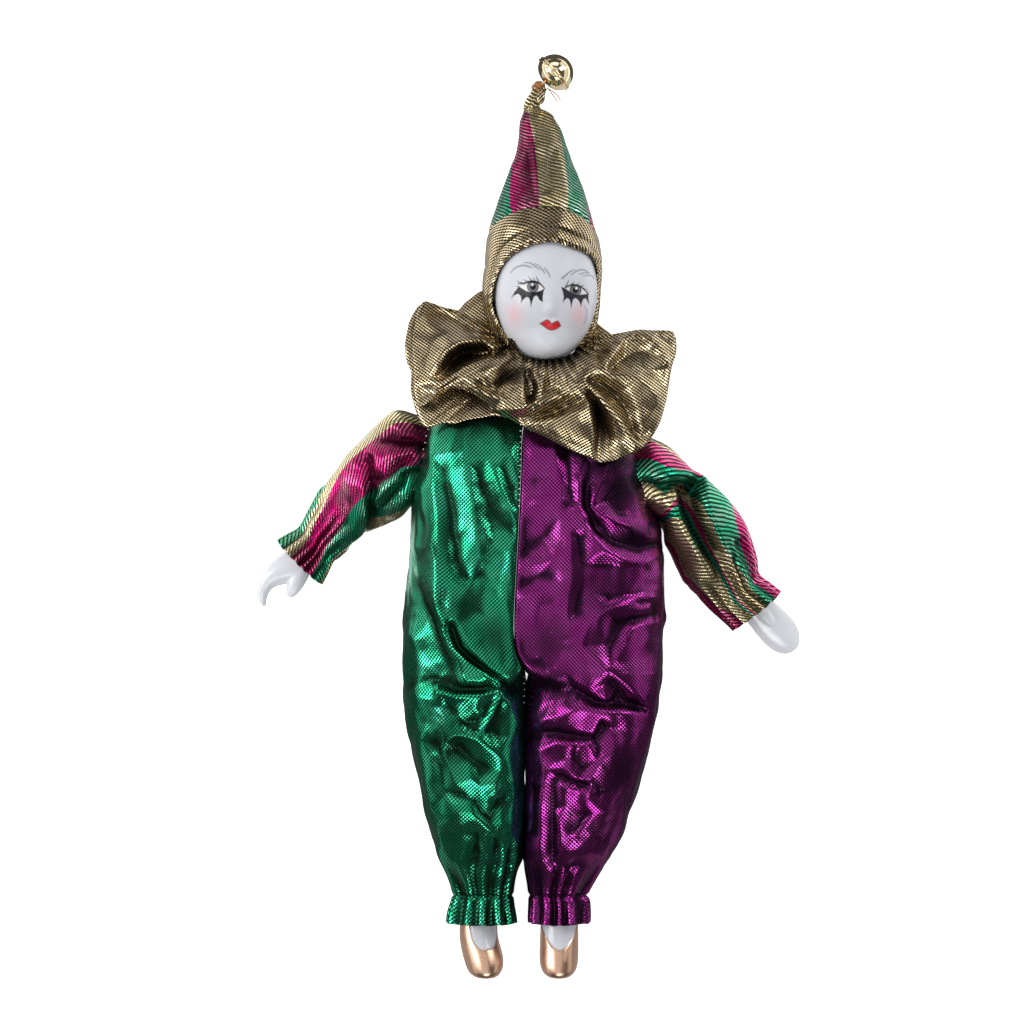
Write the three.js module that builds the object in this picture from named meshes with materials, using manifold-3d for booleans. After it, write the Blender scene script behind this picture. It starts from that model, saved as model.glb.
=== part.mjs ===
// A porcelain-headed clown doll in a lame romper, lying on its back.
// Millimetres. +Z is up, towards the doll's front, +Y runs to the crown of the head and
// +X to the doll's own left. The origin is on the surface below the middle of the doll.
import * as THREE from 'three';
import { mergeVertices } from 'three/addons/utils/BufferGeometryUtils.js';
import Module from 'manifold-3d';

const wasm = await Module();
wasm.setup();

// Driving dimensions
const GAP = 0.4; // clearance grown onto a neighbour before it is cut away

const TORSO = {
  crotch: -41.5,
  hem: -110,
  gather: -103, // elastic line above the trouser frill
  round: 2.3, // exponent of the oval section on its outer side
  square: 11, // and where the two halves press together
  around: 24, // corners of a section
  pleat: 0.9, // height of the gathers at the cuff
};
const SLEEVE = {
  wrist: 0.83, // share of the length where the elastic sits
  round: 0.92, // power that fills out the oval section
  steps: 10,
  around: 20,
  pleat: 0.9,
};
const CLOTH_WALL = 0.9; // wall of an open frill

const HEAD = {
  centre: new THREE.Vector3(4.8, 59.3, 18),
  halfWidth: 13.9,
  chin: -19.1,
  crown: 19.5,
  front: 14.5,
  back: 14.8,
  chinForward: 4.2, // how far the chin lies ahead of the neck
  tilt: THREE.MathUtils.degToRad(-2),
  turn: THREE.MathUtils.degToRad(4),
};
const NECK = { radius: 5.6, base: 33.5, z: 15.5 };

const HAT_SEAM = { front: [80.8, 28], back: [62, 2] }; // y and z of the seam between hood and hat
const FACE_OPENING = { x: 5.0, y: 56.5, halfWidth: 13.6, halfHeight: 16.3 };

const RUFF = {
  thickness: 1.3,
  neckRadius: 8.2,
  neckline: 40.2, // height of the gathered neckline on the neck
  pleats: 10,
  wave: 1.5, // height of a pleat at the rim
  arch: 3.2, // how far the collar bulges between neck and rim
  rings: 4,
};

const BELL = {
  centre: new THREE.Vector3(7.1, 119.2, 5.6),
  flangeRadius: 5.56,
  flangeThick: 0.7,
  radius: 5.2,
  dome: 5.3, // depth of the slotted half
  cap: 3.6, // depth of the half with the shank
  wall: 0.6,
  slot: 1.0,
  slotLevel: 2.2, // how far up the dome the slots begin
  hole: 1.0,
  shank: 1.0,
  shankWire: 0.35,
  axis: THREE.MathUtils.degToRad(41.7),
};
const TIE = { centre: [3.4, 115.4, 5.6], radius: 1.55, thread: 0.85, lean: -0.5 };

const COLOURS = {
  porcelain: 0xe6e8ec,
  green: 0x0f7a52,
  purple: 0x6d1a66,
  gold: 0xa08a55,
  stripe: 0xd8488f,
  brass: 0xe6cf8a,
  thread: 0xa0622c,
};

// Small helpers
const lerp = THREE.MathUtils.lerp;
const smooth = (x, a, b) => THREE.MathUtils.smoothstep(x, Math.min(a, b), Math.max(a, b));
const bump = (d, width) => Math.exp(-(d * d) / (2 * width * width));
const spow = (v, e) => Math.sign(v) * Math.abs(v) ** e;

// A smooth function through [place, value] pairs in rising order of place
function through(pairs) {
  const n = pairs.length;
  const slope = pairs.map((p, i) => {
    const a = pairs[Math.max(i - 1, 0)];
    const b = pairs[Math.min(i + 1, n - 1)];
    return (b[1] - a[1]) / (b[0] - a[0]);
  });
  return (x) => {
    if (x <= pairs[0][0]) return pairs[0][1];
    if (x >= pairs[n - 1][0]) return pairs[n - 1][1];
    let i = 0;
    while (x > pairs[i + 1][0]) i += 1;
    const h = pairs[i + 1][0] - pairs[i][0];
    const t = (x - pairs[i][0]) / h;
    const a = pairs[i][1];
    const b = pairs[i + 1][1];
    return a * (1 + 2 * t) * (1 - t) ** 2 + b * t * t * (3 - 2 * t)
      + h * t * (1 - t) * (slope[i] * (1 - t) - slope[i + 1] * t);
  };
}

const curve = (points) => new THREE.CatmullRomCurve3(
  points.map((p) => new THREE.Vector3(p[0], p[1], p[2] ?? 0)), false, 'centripetal');

// A closed skin over rings of points, with a flat cap on the first and last ring
function loft(rings) {
  const n = rings[0].length;
  const positions = [];
  const index = [];
  rings.forEach((ring) => ring.forEach((p) => positions.push(p.x, p.y, p.z)));
  for (let r = 0; r + 1 < rings.length; r += 1) {
    for (let i = 0; i < n; i += 1) {
      const a = r * n + i;
      const b = r * n + ((i + 1) % n);
      index.push(a, b, b + n, a, b + n, a + n);
    }
  }
  [0, rings.length - 1].forEach((r) => {
    const centre = new THREE.Vector3();
    rings[r].forEach((p) => centre.add(p));
    centre.divideScalar(n);
    const c = positions.length / 3;
    positions.push(centre.x, centre.y, centre.z);
    for (let i = 0; i < n; i += 1) {
      const a = r * n + i;
      const b = r * n + ((i + 1) % n);
      index.push(...(r === 0 ? [c, b, a] : [c, a, b]));
    }
  });
  return outward(positions, index);
}

// A closed skin over a grid that closes on itself both ways
function torus(rows) {
  const n = rows.length;
  const m = rows[0].length;
  const positions = rows.flat().flatMap((p) => [p.x, p.y, p.z]);
  const index = [];
  for (let r = 0; r < n; r += 1) {
    for (let i = 0; i < m; i += 1) {
      const a = r * m + i;
      const b = r * m + ((i + 1) % m);
      const c = ((r + 1) % n) * m + ((i + 1) % m);
      const d = ((r + 1) % n) * m + i;
      index.push(a, b, c, a, c, d);
    }
  }
  return outward(positions, index);
}

// The solid of a point list and a triangle list, turned so that its faces point out
function outward(positions, index) {
  const p = (i) => new THREE.Vector3().fromArray(positions, 3 * i);
  let volume = 0;
  for (let t = 0; t < index.length; t += 3) {
    volume += p(index[t]).dot(p(index[t + 1]).cross(p(index[t + 2])));
  }
  if (volume < 0) {
    for (let t = 0; t < index.length; t += 3) {
      [index[t + 1], index[t + 2]] = [index[t + 2], index[t + 1]];
    }
  }
  const geometry = new THREE.BufferGeometry();
  geometry.setAttribute('position', new THREE.Float32BufferAttribute(positions, 3));
  geometry.setIndex(index);
  return solid(geometry);
}

function solid(geometry, matrix) {
  const bare = geometry.clone();
  bare.deleteAttribute('normal');
  bare.deleteAttribute('uv');
  if (matrix) bare.applyMatrix4(matrix);
  const merged = mergeVertices(bare, 1e-5);
  return new wasm.Manifold(new wasm.Mesh({
    numProp: 3,
    vertProperties: new Float32Array(merged.attributes.position.array),
    triVerts: new Uint32Array(merged.index.array),
  }));
}

// The same solid with each corner moved out along its normal
function grown(body, distance) {
  const geometry = geometryOf(body);
  geometry.computeVertexNormals();
  const { position, normal } = geometry.attributes;
  for (let i = 0; i < position.count; i += 1) {
    position.setXYZ(i, position.getX(i) + distance * normal.getX(i),
      position.getY(i) + distance * normal.getY(i), position.getZ(i) + distance * normal.getZ(i));
  }
  return solid(geometry);
}

function geometryOf(body) {
  const mesh = body.getMesh();
  const geometry = new THREE.BufferGeometry();
  const points = [];
  for (let i = 0; i < mesh.numVert; i += 1) {
    points.push(...mesh.vertProperties.slice(i * mesh.numProp, i * mesh.numProp + 3));
  }
  geometry.setAttribute('position', new THREE.Float32BufferAttribute(points, 3));
  geometry.setIndex(Array.from(mesh.triVerts));
  return geometry;
}

// The largest single body of a cut solid
function whole(body) {
  return body.decompose().reduce((a, b) => (a.volume() > b.volume() ? a : b));
}

const cut = (body, ...tools) => whole(tools.reduce((rest, tool) => rest.subtract(tool), body));

// Folds of the romper's front: a ridge from one end to the other, its height and width
const FOLDS = [
  { from: [-29, -2], to: [-22, -27], height: 1.8, width: 2.6 },
  { from: [-20, -24], to: [-8, -43], height: -2.2, width: 2.4 },
  { from: [-24, -45], to: [-7, -47], height: 2.2, width: 2.4 },
  { from: [-22, -63], to: [-8, -60], height: -2.8, width: 3.4 },
  { from: [-30, -53], to: [-14, -55], height: 1.8, width: 2.4 },
  { from: [-26, -78], to: [-8, -71], height: 1.8, width: 2.8 },
  { from: [16, 1], to: [20, 12], height: 1.8, width: 2.4 },
  { from: [16, 1], to: [33, -7], height: 2.0, width: 2.4 },
  { from: [16, 1], to: [4, -14], height: 1.8, width: 2.6 },
  { from: [2, -19], to: [30, -25], height: -1.8, width: 2.8 },
  { from: [13, -33], to: [30, -50], height: 2.2, width: 2.6 },
  { from: [4, -50], to: [22, -66], height: 2.0, width: 2.8 },
  { from: [6, -76], to: [26, -69], height: -2.2, width: 3.0 },
  { from: [8, -84], to: [20, -88], height: 1.4, width: 2.6 },
];

function foldHeight(x, y) {
  return FOLDS.reduce((sum, { from, to, height, width }) => {
    const dx = to[0] - from[0];
    const dy = to[1] - from[1];
    const t = THREE.MathUtils.clamp(((x - from[0]) * dx + (y - from[1]) * dy) / (dx * dx + dy * dy), 0, 1);
    return sum + height * bump(Math.hypot(x - from[0] - t * dx, y - from[1] - t * dy), width);
  }, 0);
}

// One half of the romper: torso side and trouser leg in one cut of cloth
// Both halves end on this line: the sewn seam of the torso, then where the legs press together
const seamLine = through([[-110, -1.3], [-103, -1.8], [-95, -1.5], [-67, -0.7], [-50, -0.4],
  [-42, -0.7], [-36.9, -3], [-30, -3.8], [-7.2, -2.7], [10.4, -1.9], [22.5, -1.4], [37, 1.5]]);
const GREEN = {
  side: -1,
  outer: through([[-110, -22.1], [-103, -20.9], [-98, -22.1], [-91.4, -24.8], [-75.2, -28.6],
    [-55.8, -32.7], [-40, -33.8], [-23.4, -33.2], [-13.6, -32.1], [-4.5, -30.4], [2.6, -30.9],
    [11.7, -29.4], [20.4, -27.8], [25.5, -25.5], [31.7, -17], [37, -5.5]]),
  inner: through([[-110, -2.2], [-103, -3.1], [-95.2, -1.9], [-67.1, -0.95], [-50.4, -1.4],
    [-43, -1.2]]),
};
const PURPLE = {
  side: 1,
  outer: through([[-110, 16.2], [-103, 16.4], [-98, 19], [-88.2, 24.6], [-72, 30], [-52.5, 34.6],
    [-31.5, 36.5], [-12.6, 36.5], [-4.5, 35.9], [0.9, 33.2], [6.9, 30.7], [14.4, 29.4],
    [20.9, 28.4], [25.2, 25.6], [31, 18.5], [37, 11.5]]),
  inner: through([[-110, -0.3], [-103, -0.4], [-95.2, -1.2], [-67.1, -0.45], [-50.4, 0.5],
    [-43, 0.1]]),
};
const torsoTop = through([[-110, 17], [-103, 15.2], [-95, 19], [-80, 26], [-60, 30.5], [-40, 33.5],
  [-10, 34], [12, 33], [25, 30], [32, 27.5], [37, 22]]);
const torsoUnder = through([[-110, -0.4], [-103, 0.8], [-95, -0.5], [-85, -2], [25, -2], [31, 1], [37, 7]]);

function romperRing(half, y, inset = 0) {
  const legness = 1 - smooth(y, -44, -14);
  const seam = seamLine(y) + (half.side * GAP) / 2;
  const inner = y < TORSO.crotch ? half.inner(y) : seam;
  const outer = half.outer(y);
  const cx = (inner + outer) / 2;
  const w = Math.abs(outer - inner) / 2 - inset;
  const top = torsoTop(y);
  const under = torsoUnder(y);
  const cz = (top + under) / 2;
  const h = (top - under) / 2 - inset;
  const pleat = TORSO.pleat * (1 - smooth(y, -101, -90));
  const ring = [];
  for (let i = 0; i < TORSO.around; i += 1) {
    const a = (i / TORSO.around) * 2 * Math.PI;
    const c = Math.cos(a);
    const s = Math.sin(a);
    const power = c > 0 ? TORSO.round : lerp(TORSO.square, TORSO.round, legness);
    const wave = pleat * (i % 2 ? -1 : 1);
    const reach = half.side * (w * spow(c, 2 / power) + wave * c);
    const x = half.side > 0 ? Math.max(cx + reach, seam) : Math.min(cx + reach, seam);
    const crown = 1 - 0.1 * smooth(c, -0.2, 1) * (1 - legness);
    let z = cz + (h * spow(s, 2 / power) + wave * s) * (s > 0 ? crown : 1);
    if (s > 0) z += foldHeight(x, y) * smooth(s, 0.1, 0.7) * smooth(y, -98, -90);
    ring.push(new THREE.Vector3(x, y, Math.max(z, 0)));
  }
  return ring;
}

function romperHalf(half) {
  const levels = [37, 33, 27, 20, 12, 4, -4, -12, -20, -28, -35, -41, -44, -51, -58, -65,
    -72, -79, -86, -92, -97, -103];
  const rings = levels.map((y) => romperRing(half, y));
  rings.push(romperRing(half, TORSO.hem));
  rings.push(romperRing(half, TORSO.hem, CLOTH_WALL));
  rings.push(romperRing(half, TORSO.gather - 1.2, CLOTH_WALL));
  return loft(rings);
}

// Porcelain leg with its painted shoe, seen from the front, toe pointing down and forward
function leg({ ankle, toe }) {
  const stations = [
    // y, half width, underside, top
    [-98, 2.9, 4.6, 10.6], [-106, 2.7, 4.8, 10.4], [-111, 2.9, 4.2, 10.8], [-113.5, 3.9, 2.2, 11.8],
    [-116.5, 4.8, 1.4, 12.7], [-119.5, 5.2, 2.6, 13.6], [-122, 5.1, 4.6, 14.2],
    [-124, 3.9, 7.0, 14.0], [-125.1, 1.9, 9.2, 13.0],
  ];
  const n = 16;
  const centre = (y) => lerp(ankle, toe, smooth(y, -110, -123));
  const rings = stations.map(([y, w, under, top]) => Array.from({ length: n }, (_, i) => {
    const a = (i / n) * 2 * Math.PI;
    return new THREE.Vector3(centre(y) + w * spow(Math.cos(a), 0.9), y,
      (top + under) / 2 + ((top - under) / 2) * spow(Math.sin(a), 0.9));
  }));
  return loft(rings);
}

// One sleeve between its upper and lower edges, armhole to frill
function sleeve({ upper, lower, tops }) {
  const top = curve(upper);
  const bottom = curve(lower);
  const height = through(tops);
  const place = (s, inset = 0) => {
    const u = top.getPoint(s);
    const l = bottom.getPoint(s);
    const centre = u.clone().add(l).multiplyScalar(0.5);
    const arm = u.clone().sub(l).multiplyScalar(0.5);
    arm.setLength(arm.length() - inset);
    const h = height(s);
    const pleat = SLEEVE.pleat * smooth(s, 0.6, 0.8);
    return Array.from({ length: SLEEVE.around }, (_, i) => {
      const a = (i / SLEEVE.around) * 2 * Math.PI;
      const wave = 1 + (pleat * (i % 2 ? -1 : 1)) / arm.length();
      const p = centre.clone().addScaledVector(arm, wave * spow(Math.cos(a), SLEEVE.round));
      p.z = Math.max(0, h / 2 + (h / 2 - inset) * wave * 1.06 * spow(Math.sin(a), SLEEVE.round));
      return p;
    });
  };
  const rings = [];
  for (let k = 0; k <= SLEEVE.steps; k += 1) rings.push(place(k / SLEEVE.steps));
  rings.push(place(1, CLOTH_WALL));
  rings.push(place(SLEEVE.wrist, CLOTH_WALL));
  return loft(rings);
}

// A hand or finger as a row of oval stations: centre, half width in plan, half thickness
function limb(stations, n = 14) {
  const rings = stations.map(({ at, w, h }, k) => {
    const before = stations[Math.max(k - 1, 0)].at;
    const after = stations[Math.min(k + 1, stations.length - 1)].at;
    const across = new THREE.Vector3(-(after[1] - before[1]), after[0] - before[0], 0).normalize();
    return Array.from({ length: n }, (_, i) => {
      const a = (i / n) * 2 * Math.PI;
      return new THREE.Vector3(...at).addScaledVector(across, w * Math.cos(a))
        .add(new THREE.Vector3(0, 0, h * Math.sin(a)));
    });
  });
  return loft(rings);
}

const oval = (x, y, z, w, h) => ({ at: [x, y, z], w, h });

// The doll's right hand, its fingers curled down into a hook and the thumb below
function hookedHand() {
  const palm = limb([
    oval(-54.5, -7, 6.4, 2.9, 2.9), oval(-59.5, -11.5, 6.2, 3.2, 3.0), oval(-64, -14.6, 5.6, 4.0, 3.2),
    oval(-67.8, -15.6, 5.0, 3.6, 3.3), oval(-70.5, -17, 4.6, 2.6, 3.1), oval(-72.1, -19.6, 4.3, 1.7, 2.8),
    oval(-72.3, -22.4, 4.1, 1.2, 2.4), oval(-71.9, -24.4, 4.0, 0.8, 1.7), oval(-71.8, -25.2, 4.0, 0.35, 0.8),
  ]);
  const thumb = limb([
    oval(-62.6, -14, 6.2, 2.4, 2.2), oval(-62.8, -18, 6.4, 2.3, 1.9), oval(-63.5, -21, 6.4, 1.6, 1.6),
    oval(-64.1, -22.9, 6.4, 0.6, 0.7),
  ], 10);
  return palm.add(thumb);
}

// The doll's left hand, flat like a mitten with the thumb laid along it
function flatHand() {
  const palm = limb([
    oval(55.5, -19.5, 6.6, 2.9, 2.9), oval(59, -22.6, 6.4, 3.4, 3.0), oval(62.5, -26, 5.4, 4.5, 2.9),
    oval(66, -29.6, 4.4, 5.2, 2.7), oval(69, -33, 3.6, 5.0, 2.4), oval(71, -36, 3.0, 3.6, 1.9),
    oval(72, -37.8, 2.7, 1.5, 1.0),
  ]);
  const thumb = limb([
    oval(60.5, -24.5, 7.0, 1.9, 1.7), oval(63.5, -26.9, 7.4, 1.8, 1.5), oval(65.8, -29.2, 7.0, 1.4, 1.3),
    oval(67.2, -30.8, 6.6, 0.5, 0.6),
  ], 12);
  return palm.add(thumb);
}

// Porcelain head: level sections from chin to crown, with the features raised on the front
function faceRelief(x, y) {
  const side = Math.abs(x);
  return 2.9 * bump(x, 1.7) * bump(y + 4.6, 2.2) // nose
    - 1.0 * bump(side - 5.6, 2.6) * bump(y - 0.6, 2.0) // eye hollows
    + 0.4 * bump(side - 5.6, 1.9) * bump(y - 0.4, 1.2) // eyeballs
    + 1.0 * bump(x, 2.3) * bump(y + 9.4, 1.4) // lips
    + 0.7 * bump(side - 7.2, 3.2) * bump(y + 6, 3) // cheeks
    + 0.9 * bump(x, 3) * bump(y + 15, 2.2); // chin
}

function headSolid(around = 24, levels = 13) {
  const rings = [];
  for (let k = 0; k <= levels; k += 1) {
    const even = (2 * k) / levels - 1;
    const t = 0.992 * lerp(Math.sin((even * Math.PI) / 2), even, 0.35);
    const y = t < 0 ? -t * HEAD.chin : t * HEAD.crown;
    const round = Math.sqrt(1 - t * t);
    const w = HEAD.halfWidth * (t < 0 ? round ** 0.9 : round);
    const forward = t < 0 ? HEAD.chinForward * t ** 4 : 0;
    const ring = [];
    for (let i = 0; i < around; i += 1) {
      const turn = (i / around) * 2 * Math.PI;
      const a = turn - 0.4 * Math.sin(turn); // closer together on the face
      const x = w * Math.sin(a);
      const depth = Math.cos(a) > 0 ? HEAD.front : HEAD.back;
      let z = forward + depth * round * Math.cos(a);
      z += faceRelief(x, y) * smooth(Math.cos(a), 0, 0.6) * smooth(round, 0.1, 0.5);
      ring.push(new THREE.Vector3(x, y, z));
    }
    rings.push(ring);
  }
  const placed = new THREE.Matrix4().makeRotationFromEuler(new THREE.Euler(0, HEAD.turn, HEAD.tilt))
    .setPosition(HEAD.centre);
  const skull = loft(rings.map((ring) => ring.map((p) => p.applyMatrix4(placed))));
  const neck = new THREE.CylinderGeometry(NECK.radius, NECK.radius, HEAD.centre.y - NECK.base, 20);
  const seat = new THREE.Matrix4().makeTranslation(HEAD.centre.x, (HEAD.centre.y + NECK.base) / 2, NECK.z);
  return skull.add(solid(neck, seat));
}

// Hood and hat as one skin of upright ovals, head to tip
const hatLeft = through([[44, -6.5], [48, -9.2], [54, -11.6], [61, -11.9], [68, -11.2], [75, -10.4],
  [90, -6.1], [106.2, -2.2], [110.6, -1.1], [113, 0.4], [116.5, 2.4]]);
const hatRight = through([[44, 15.5], [48, 17.4], [54, 18.8], [61, 19.3], [68, 19.5], [75, 18.2],
  [90, 13.7], [106.2, 7.4], [110.6, 4.9], [113, 4.7], [116.5, 5.4]]);
const hatFront = through([[44, 23], [50, 26], [56, 28], [62, 28.8], [68, 29.6], [74, 30.6],
  [78, 29.8], [82.4, 27.6], [106.2, 11.4], [110.6, 8.4], [116.5, 7.6]]);
const hatBack = through([[44, 5], [50, 2], [58, 1.2], [66, 1.2], [75, 2.2], [90, 3], [106, 3],
  [110.6, 3.4], [116.5, 3.6]]);

function hatShape() {
  const levels = [45, 51, 57, 63, 69, 75, 81, 87, 95, 103, 109, 112, 114.5];
  const n = 22;
  return loft(levels.map((y) => Array.from({ length: n }, (_, i) => {
    const a = (i / n) * 2 * Math.PI;
    const cx = (hatLeft(y) + hatRight(y)) / 2;
    const cz = (hatFront(y) + hatBack(y)) / 2;
    return new THREE.Vector3(cx + ((hatRight(y) - hatLeft(y)) / 2) * Math.cos(a), y,
      cz + ((hatFront(y) - hatBack(y)) / 2) * Math.sin(a));
  })));
}

// A slab on the crown side of the slanting seam between hood and hat, moved by a given distance
function crownSide(shift) {
  const [frontY, frontZ] = HAT_SEAM.front;
  const [backY, backZ] = HAT_SEAM.back;
  const reach = 100; // further than the hat in every direction
  const geometry = new THREE.BoxGeometry(reach, reach, reach);
  geometry.translate(0, reach / 2 + shift, 0);
  const turn = new THREE.Matrix4().makeRotationX(-Math.atan((frontY - backY) / (frontZ - backZ)));
  turn.setPosition(HEAD.centre.x, backY, backZ);
  return solid(geometry, turn);
}

function faceOpening() {
  const { x, y, halfWidth, halfHeight } = FACE_OPENING;
  const oval2d = new THREE.Shape();
  oval2d.absellipse(x, y, halfWidth, halfHeight, 0, 2 * Math.PI);
  const column = new THREE.ExtrudeGeometry(oval2d, { depth: 30, bevelEnabled: false, curveSegments: 20 });
  column.translate(0, 0, HEAD.centre.z + 1);
  return solid(column);
}

// Ruff: a gathered collar from the neck to its wavy rim
// Rim corners, the doll's left round the front to the doll's right, then behind the head
const RIM = [
  [38.3, 47.8, 20], [37.1, 39.9, 24], [35.8, 32.1, 28], [32.7, 22, 31], [26.7, 16, 34],
  [18.7, 13.5, 36], [10.8, 16.6, 36.5], [0.4, 22.2, 36.5], [-6.4, 26, 36], [-16.2, 31.9, 35],
  [-23.7, 32.4, 33], [-26.1, 26.4, 31], [-27.6, 23.3, 29], [-29.8, 32.1, 28], [-31.9, 42.8, 25],
  [-30.9, 50.8, 21], [-27.6, 56.1, 17], [-20.5, 54.4, 12], [-13, 59.9, 7], [-9, 57.4, 3],
  [0, 50.9, 1.4], [9.1, 50.9, 1.4], [16.1, 53.3, 4], [22.5, 47.8, 9], [30.8, 49.1, 15],
];

function ruffSolid() {
  const rim = new THREE.CatmullRomCurve3(RIM.map((p) => new THREE.Vector3(...p)), true, 'centripetal');
  const around = RUFF.pleats * 5;
  const sheet = [];
  for (let i = 0; i < around; i += 1) {
    const t = i / around;
    const a = t * 2 * Math.PI;
    const inner = new THREE.Vector3(HEAD.centre.x + RUFF.neckRadius * Math.cos(a) * 1.15,
      RUFF.neckline - 1.6 * Math.max(0, Math.sin(a)),
      NECK.z + RUFF.neckRadius * (Math.sin(a) > 0 ? 1.25 : 1) * Math.sin(a));
    const outer = rim.getPoint(t);
    const front = smooth(Math.sin(a), -0.3, 0.3);
    const row = [];
    for (let k = 0; k <= RUFF.rings; k += 1) {
      const r = k / RUFF.rings;
      const p = inner.clone().lerp(outer, r);
      const lift = front * (RUFF.arch * Math.sin(Math.PI * r) + RUFF.wave * r * Math.cos(RUFF.pleats * a));
      p.z += lift - 0.8 * (1 - front) * Math.sin(Math.PI * r);
      row.push(p);
    }
    sheet.push(row);
  }
  // Thickness along the sheet's own normal
  const rows = sheet.map((row, i) => {
    const next = sheet[(i + 1) % around];
    const last = sheet[(i + around - 1) % around];
    const faces = row.map((p, k) => {
      const along = next[k].clone().sub(last[k]);
      const out = row[Math.min(k + 1, RUFF.rings)].clone().sub(row[Math.max(k - 1, 0)]);
      return along.cross(out).normalize().multiplyScalar(RUFF.thickness / 2);
    });
    return [...row.map((p, k) => p.clone().add(faces[k])),
      ...row.map((p, k) => p.clone().sub(faces[k])).reverse()];
  });
  return torus(rows);
}

// Jingle bell about its own axis: slotted dome, shank cap and rolled flange between them
function bellSolid() {
  const profile = [];
  const steps = 4;
  const arc = (radius, depth, from, to, sign) => {
    for (let k = 0; k <= steps; k += 1) {
      const a = lerp(from, to, k / steps);
      profile.push(new THREE.Vector2(Math.max(radius * Math.cos(a), 0), sign * depth * Math.sin(a)));
    }
  };
  const f = BELL.flangeThick / 2;
  const rim = 0.14; // turn at which each half meets the flange
  arc(BELL.radius, BELL.cap, Math.PI / 2, rim, -1);
  profile.push(new THREE.Vector2(BELL.flangeRadius, -f), new THREE.Vector2(BELL.flangeRadius, f));
  arc(BELL.radius, BELL.dome, rim, Math.PI / 2, 1);
  const outside = solid(new THREE.LatheGeometry(profile, 12));
  const inside = new THREE.SphereGeometry(1, 8, 6);
  const hollow = (depth, sign) => {
    const half = inside.clone();
    half.scale(BELL.radius - BELL.wall, depth - BELL.wall, BELL.radius - BELL.wall);
    const keep = new THREE.BoxGeometry(20, 10, 20);
    keep.translate(0, sign * 4.99, 0);
    return solid(half).intersect(solid(keep));
  };
  let shell = outside.subtract(hollow(BELL.dome, 1).add(hollow(BELL.cap, -1)));
  const slot = new THREE.BoxGeometry(BELL.slot, 8, 12);
  slot.translate(0, 4 + BELL.slotLevel, 0);
  const hole = new THREE.CylinderGeometry(BELL.hole, BELL.hole, 8, 12);
  hole.translate(0, 5, 0);
  [45, 135].forEach((degrees) => {
    const turn = new THREE.Matrix4().makeRotationY(THREE.MathUtils.degToRad(degrees));
    shell = shell.subtract(solid(slot, turn));
  });
  shell = shell.subtract(solid(hole));
  const shank = new THREE.TorusGeometry(BELL.shank, BELL.shankWire, 5, 8);
  shank.translate(0, -BELL.cap - 0.75 * BELL.shank, 0);
  return shell.add(solid(shank));
}

const bellPlace = new THREE.Matrix4().makeRotationZ(BELL.axis - Math.PI / 2).setPosition(BELL.centre);

// Thread wound round the hat's drawn-out tip and through the bell's shank
function tieSolid() {
  const wrap = new THREE.TorusGeometry(TIE.radius, TIE.thread, 5, 8);
  const turn = new THREE.Matrix4().makeRotationX(Math.PI / 2)
    .premultiply(new THREE.Matrix4().makeRotationZ(TIE.lean)).setPosition(...TIE.centre);
  return solid(wrap, turn);
}

// Assembly: harder pieces first, softer ones cut to clear them
const head = headSolid();
const legRight = leg({ ankle: -11.7, toe: -12.6 });
const legLeft = leg({ ankle: 8.6, toe: 8.1 });
const handRight = hookedHand();
const handLeft = flatHand();

const headRoom = grown(headSolid(16, 10), 1.7 * GAP);
const romperGreen = cut(romperHalf(GREEN), grown(legRight, GAP), headRoom);
const romperPurple = cut(romperHalf(PURPLE), grown(legLeft, GAP), headRoom);
const torso = grown(romperGreen, GAP).add(grown(romperPurple, GAP));

const sleeveRight = cut(sleeve({
  upper: [[-22, 24.5], [-28.1, 25.4], [-34.6, 27.9], [-38.6, 26.3], [-44, 20.9], [-49.4, 14.4],
    [-54.8, 8], [-59.4, 1.5], [-62.4, -3.6], [-65.3, -5.5], [-68, -7.4]],
  lower: [[-24, 4], [-30.8, 2.6], [-33.5, 0.1], [-37.3, -2.8], [-42.7, -4.5], [-46.2, -6.6],
    [-48.1, -9.6], [-50.2, -11.7], [-52.1, -13.4], [-53.2, -15.3], [-55.9, -18.8]],
  tops: [[0, 23], [0.25, 23], [0.5, 19], [0.8, 12.5], [1, 14.5]],
}), torso, grown(handRight, GAP));
const sleeveLeft = cut(sleeve({
  upper: [[24, 17], [29.7, 18.4], [35.6, 19.3], [41.9, 15.3], [47.8, 9.6], [53.7, 4.5],
    [58.6, -1.8], [61.8, -9.9], [62.9, -16.3], [65.6, -18.8], [68.6, -21.2]],
  lower: [[28, 2], [33.5, 0.2], [35.9, -5], [37.8, -9.6], [39.4, -13.6], [41, -18],
    [44.3, -21.2], [47.2, -24.4], [50, -26.9], [52.4, -29.3], [55.4, -31.7]],
  tops: [[0, 23], [0.25, 23], [0.5, 20], [0.8, 13], [1, 15]],
}), torso, grown(handLeft, GAP));

const headdress = cut(hatShape(), headRoom, faceOpening());
const hood = cut(headdress, crownSide(-0.2));
const hat = whole(headdress.intersect(crownSide(0.2)));
const bell = solid(geometryOf(bellSolid()), bellPlace);
const tie = cut(tieSolid(), grown(hat, GAP), grown(bell, GAP));

const ruff = cut(ruffSolid(), headRoom, grown(hood, GAP), torso,
  grown(sleeveRight, GAP), grown(sleeveLeft, GAP));

function mesh(name, body, color, { metalness = 0, roughness = 0.5 } = {}) {
  const piece = new THREE.Mesh(geometryOf(body),
    new THREE.MeshStandardMaterial({ color, metalness, roughness, flatShading: true }));
  piece.name = name;
  return piece;
}

const lame = { metalness: 0.6, roughness: 0.35 };
const glaze = { roughness: 0.15 };

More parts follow.
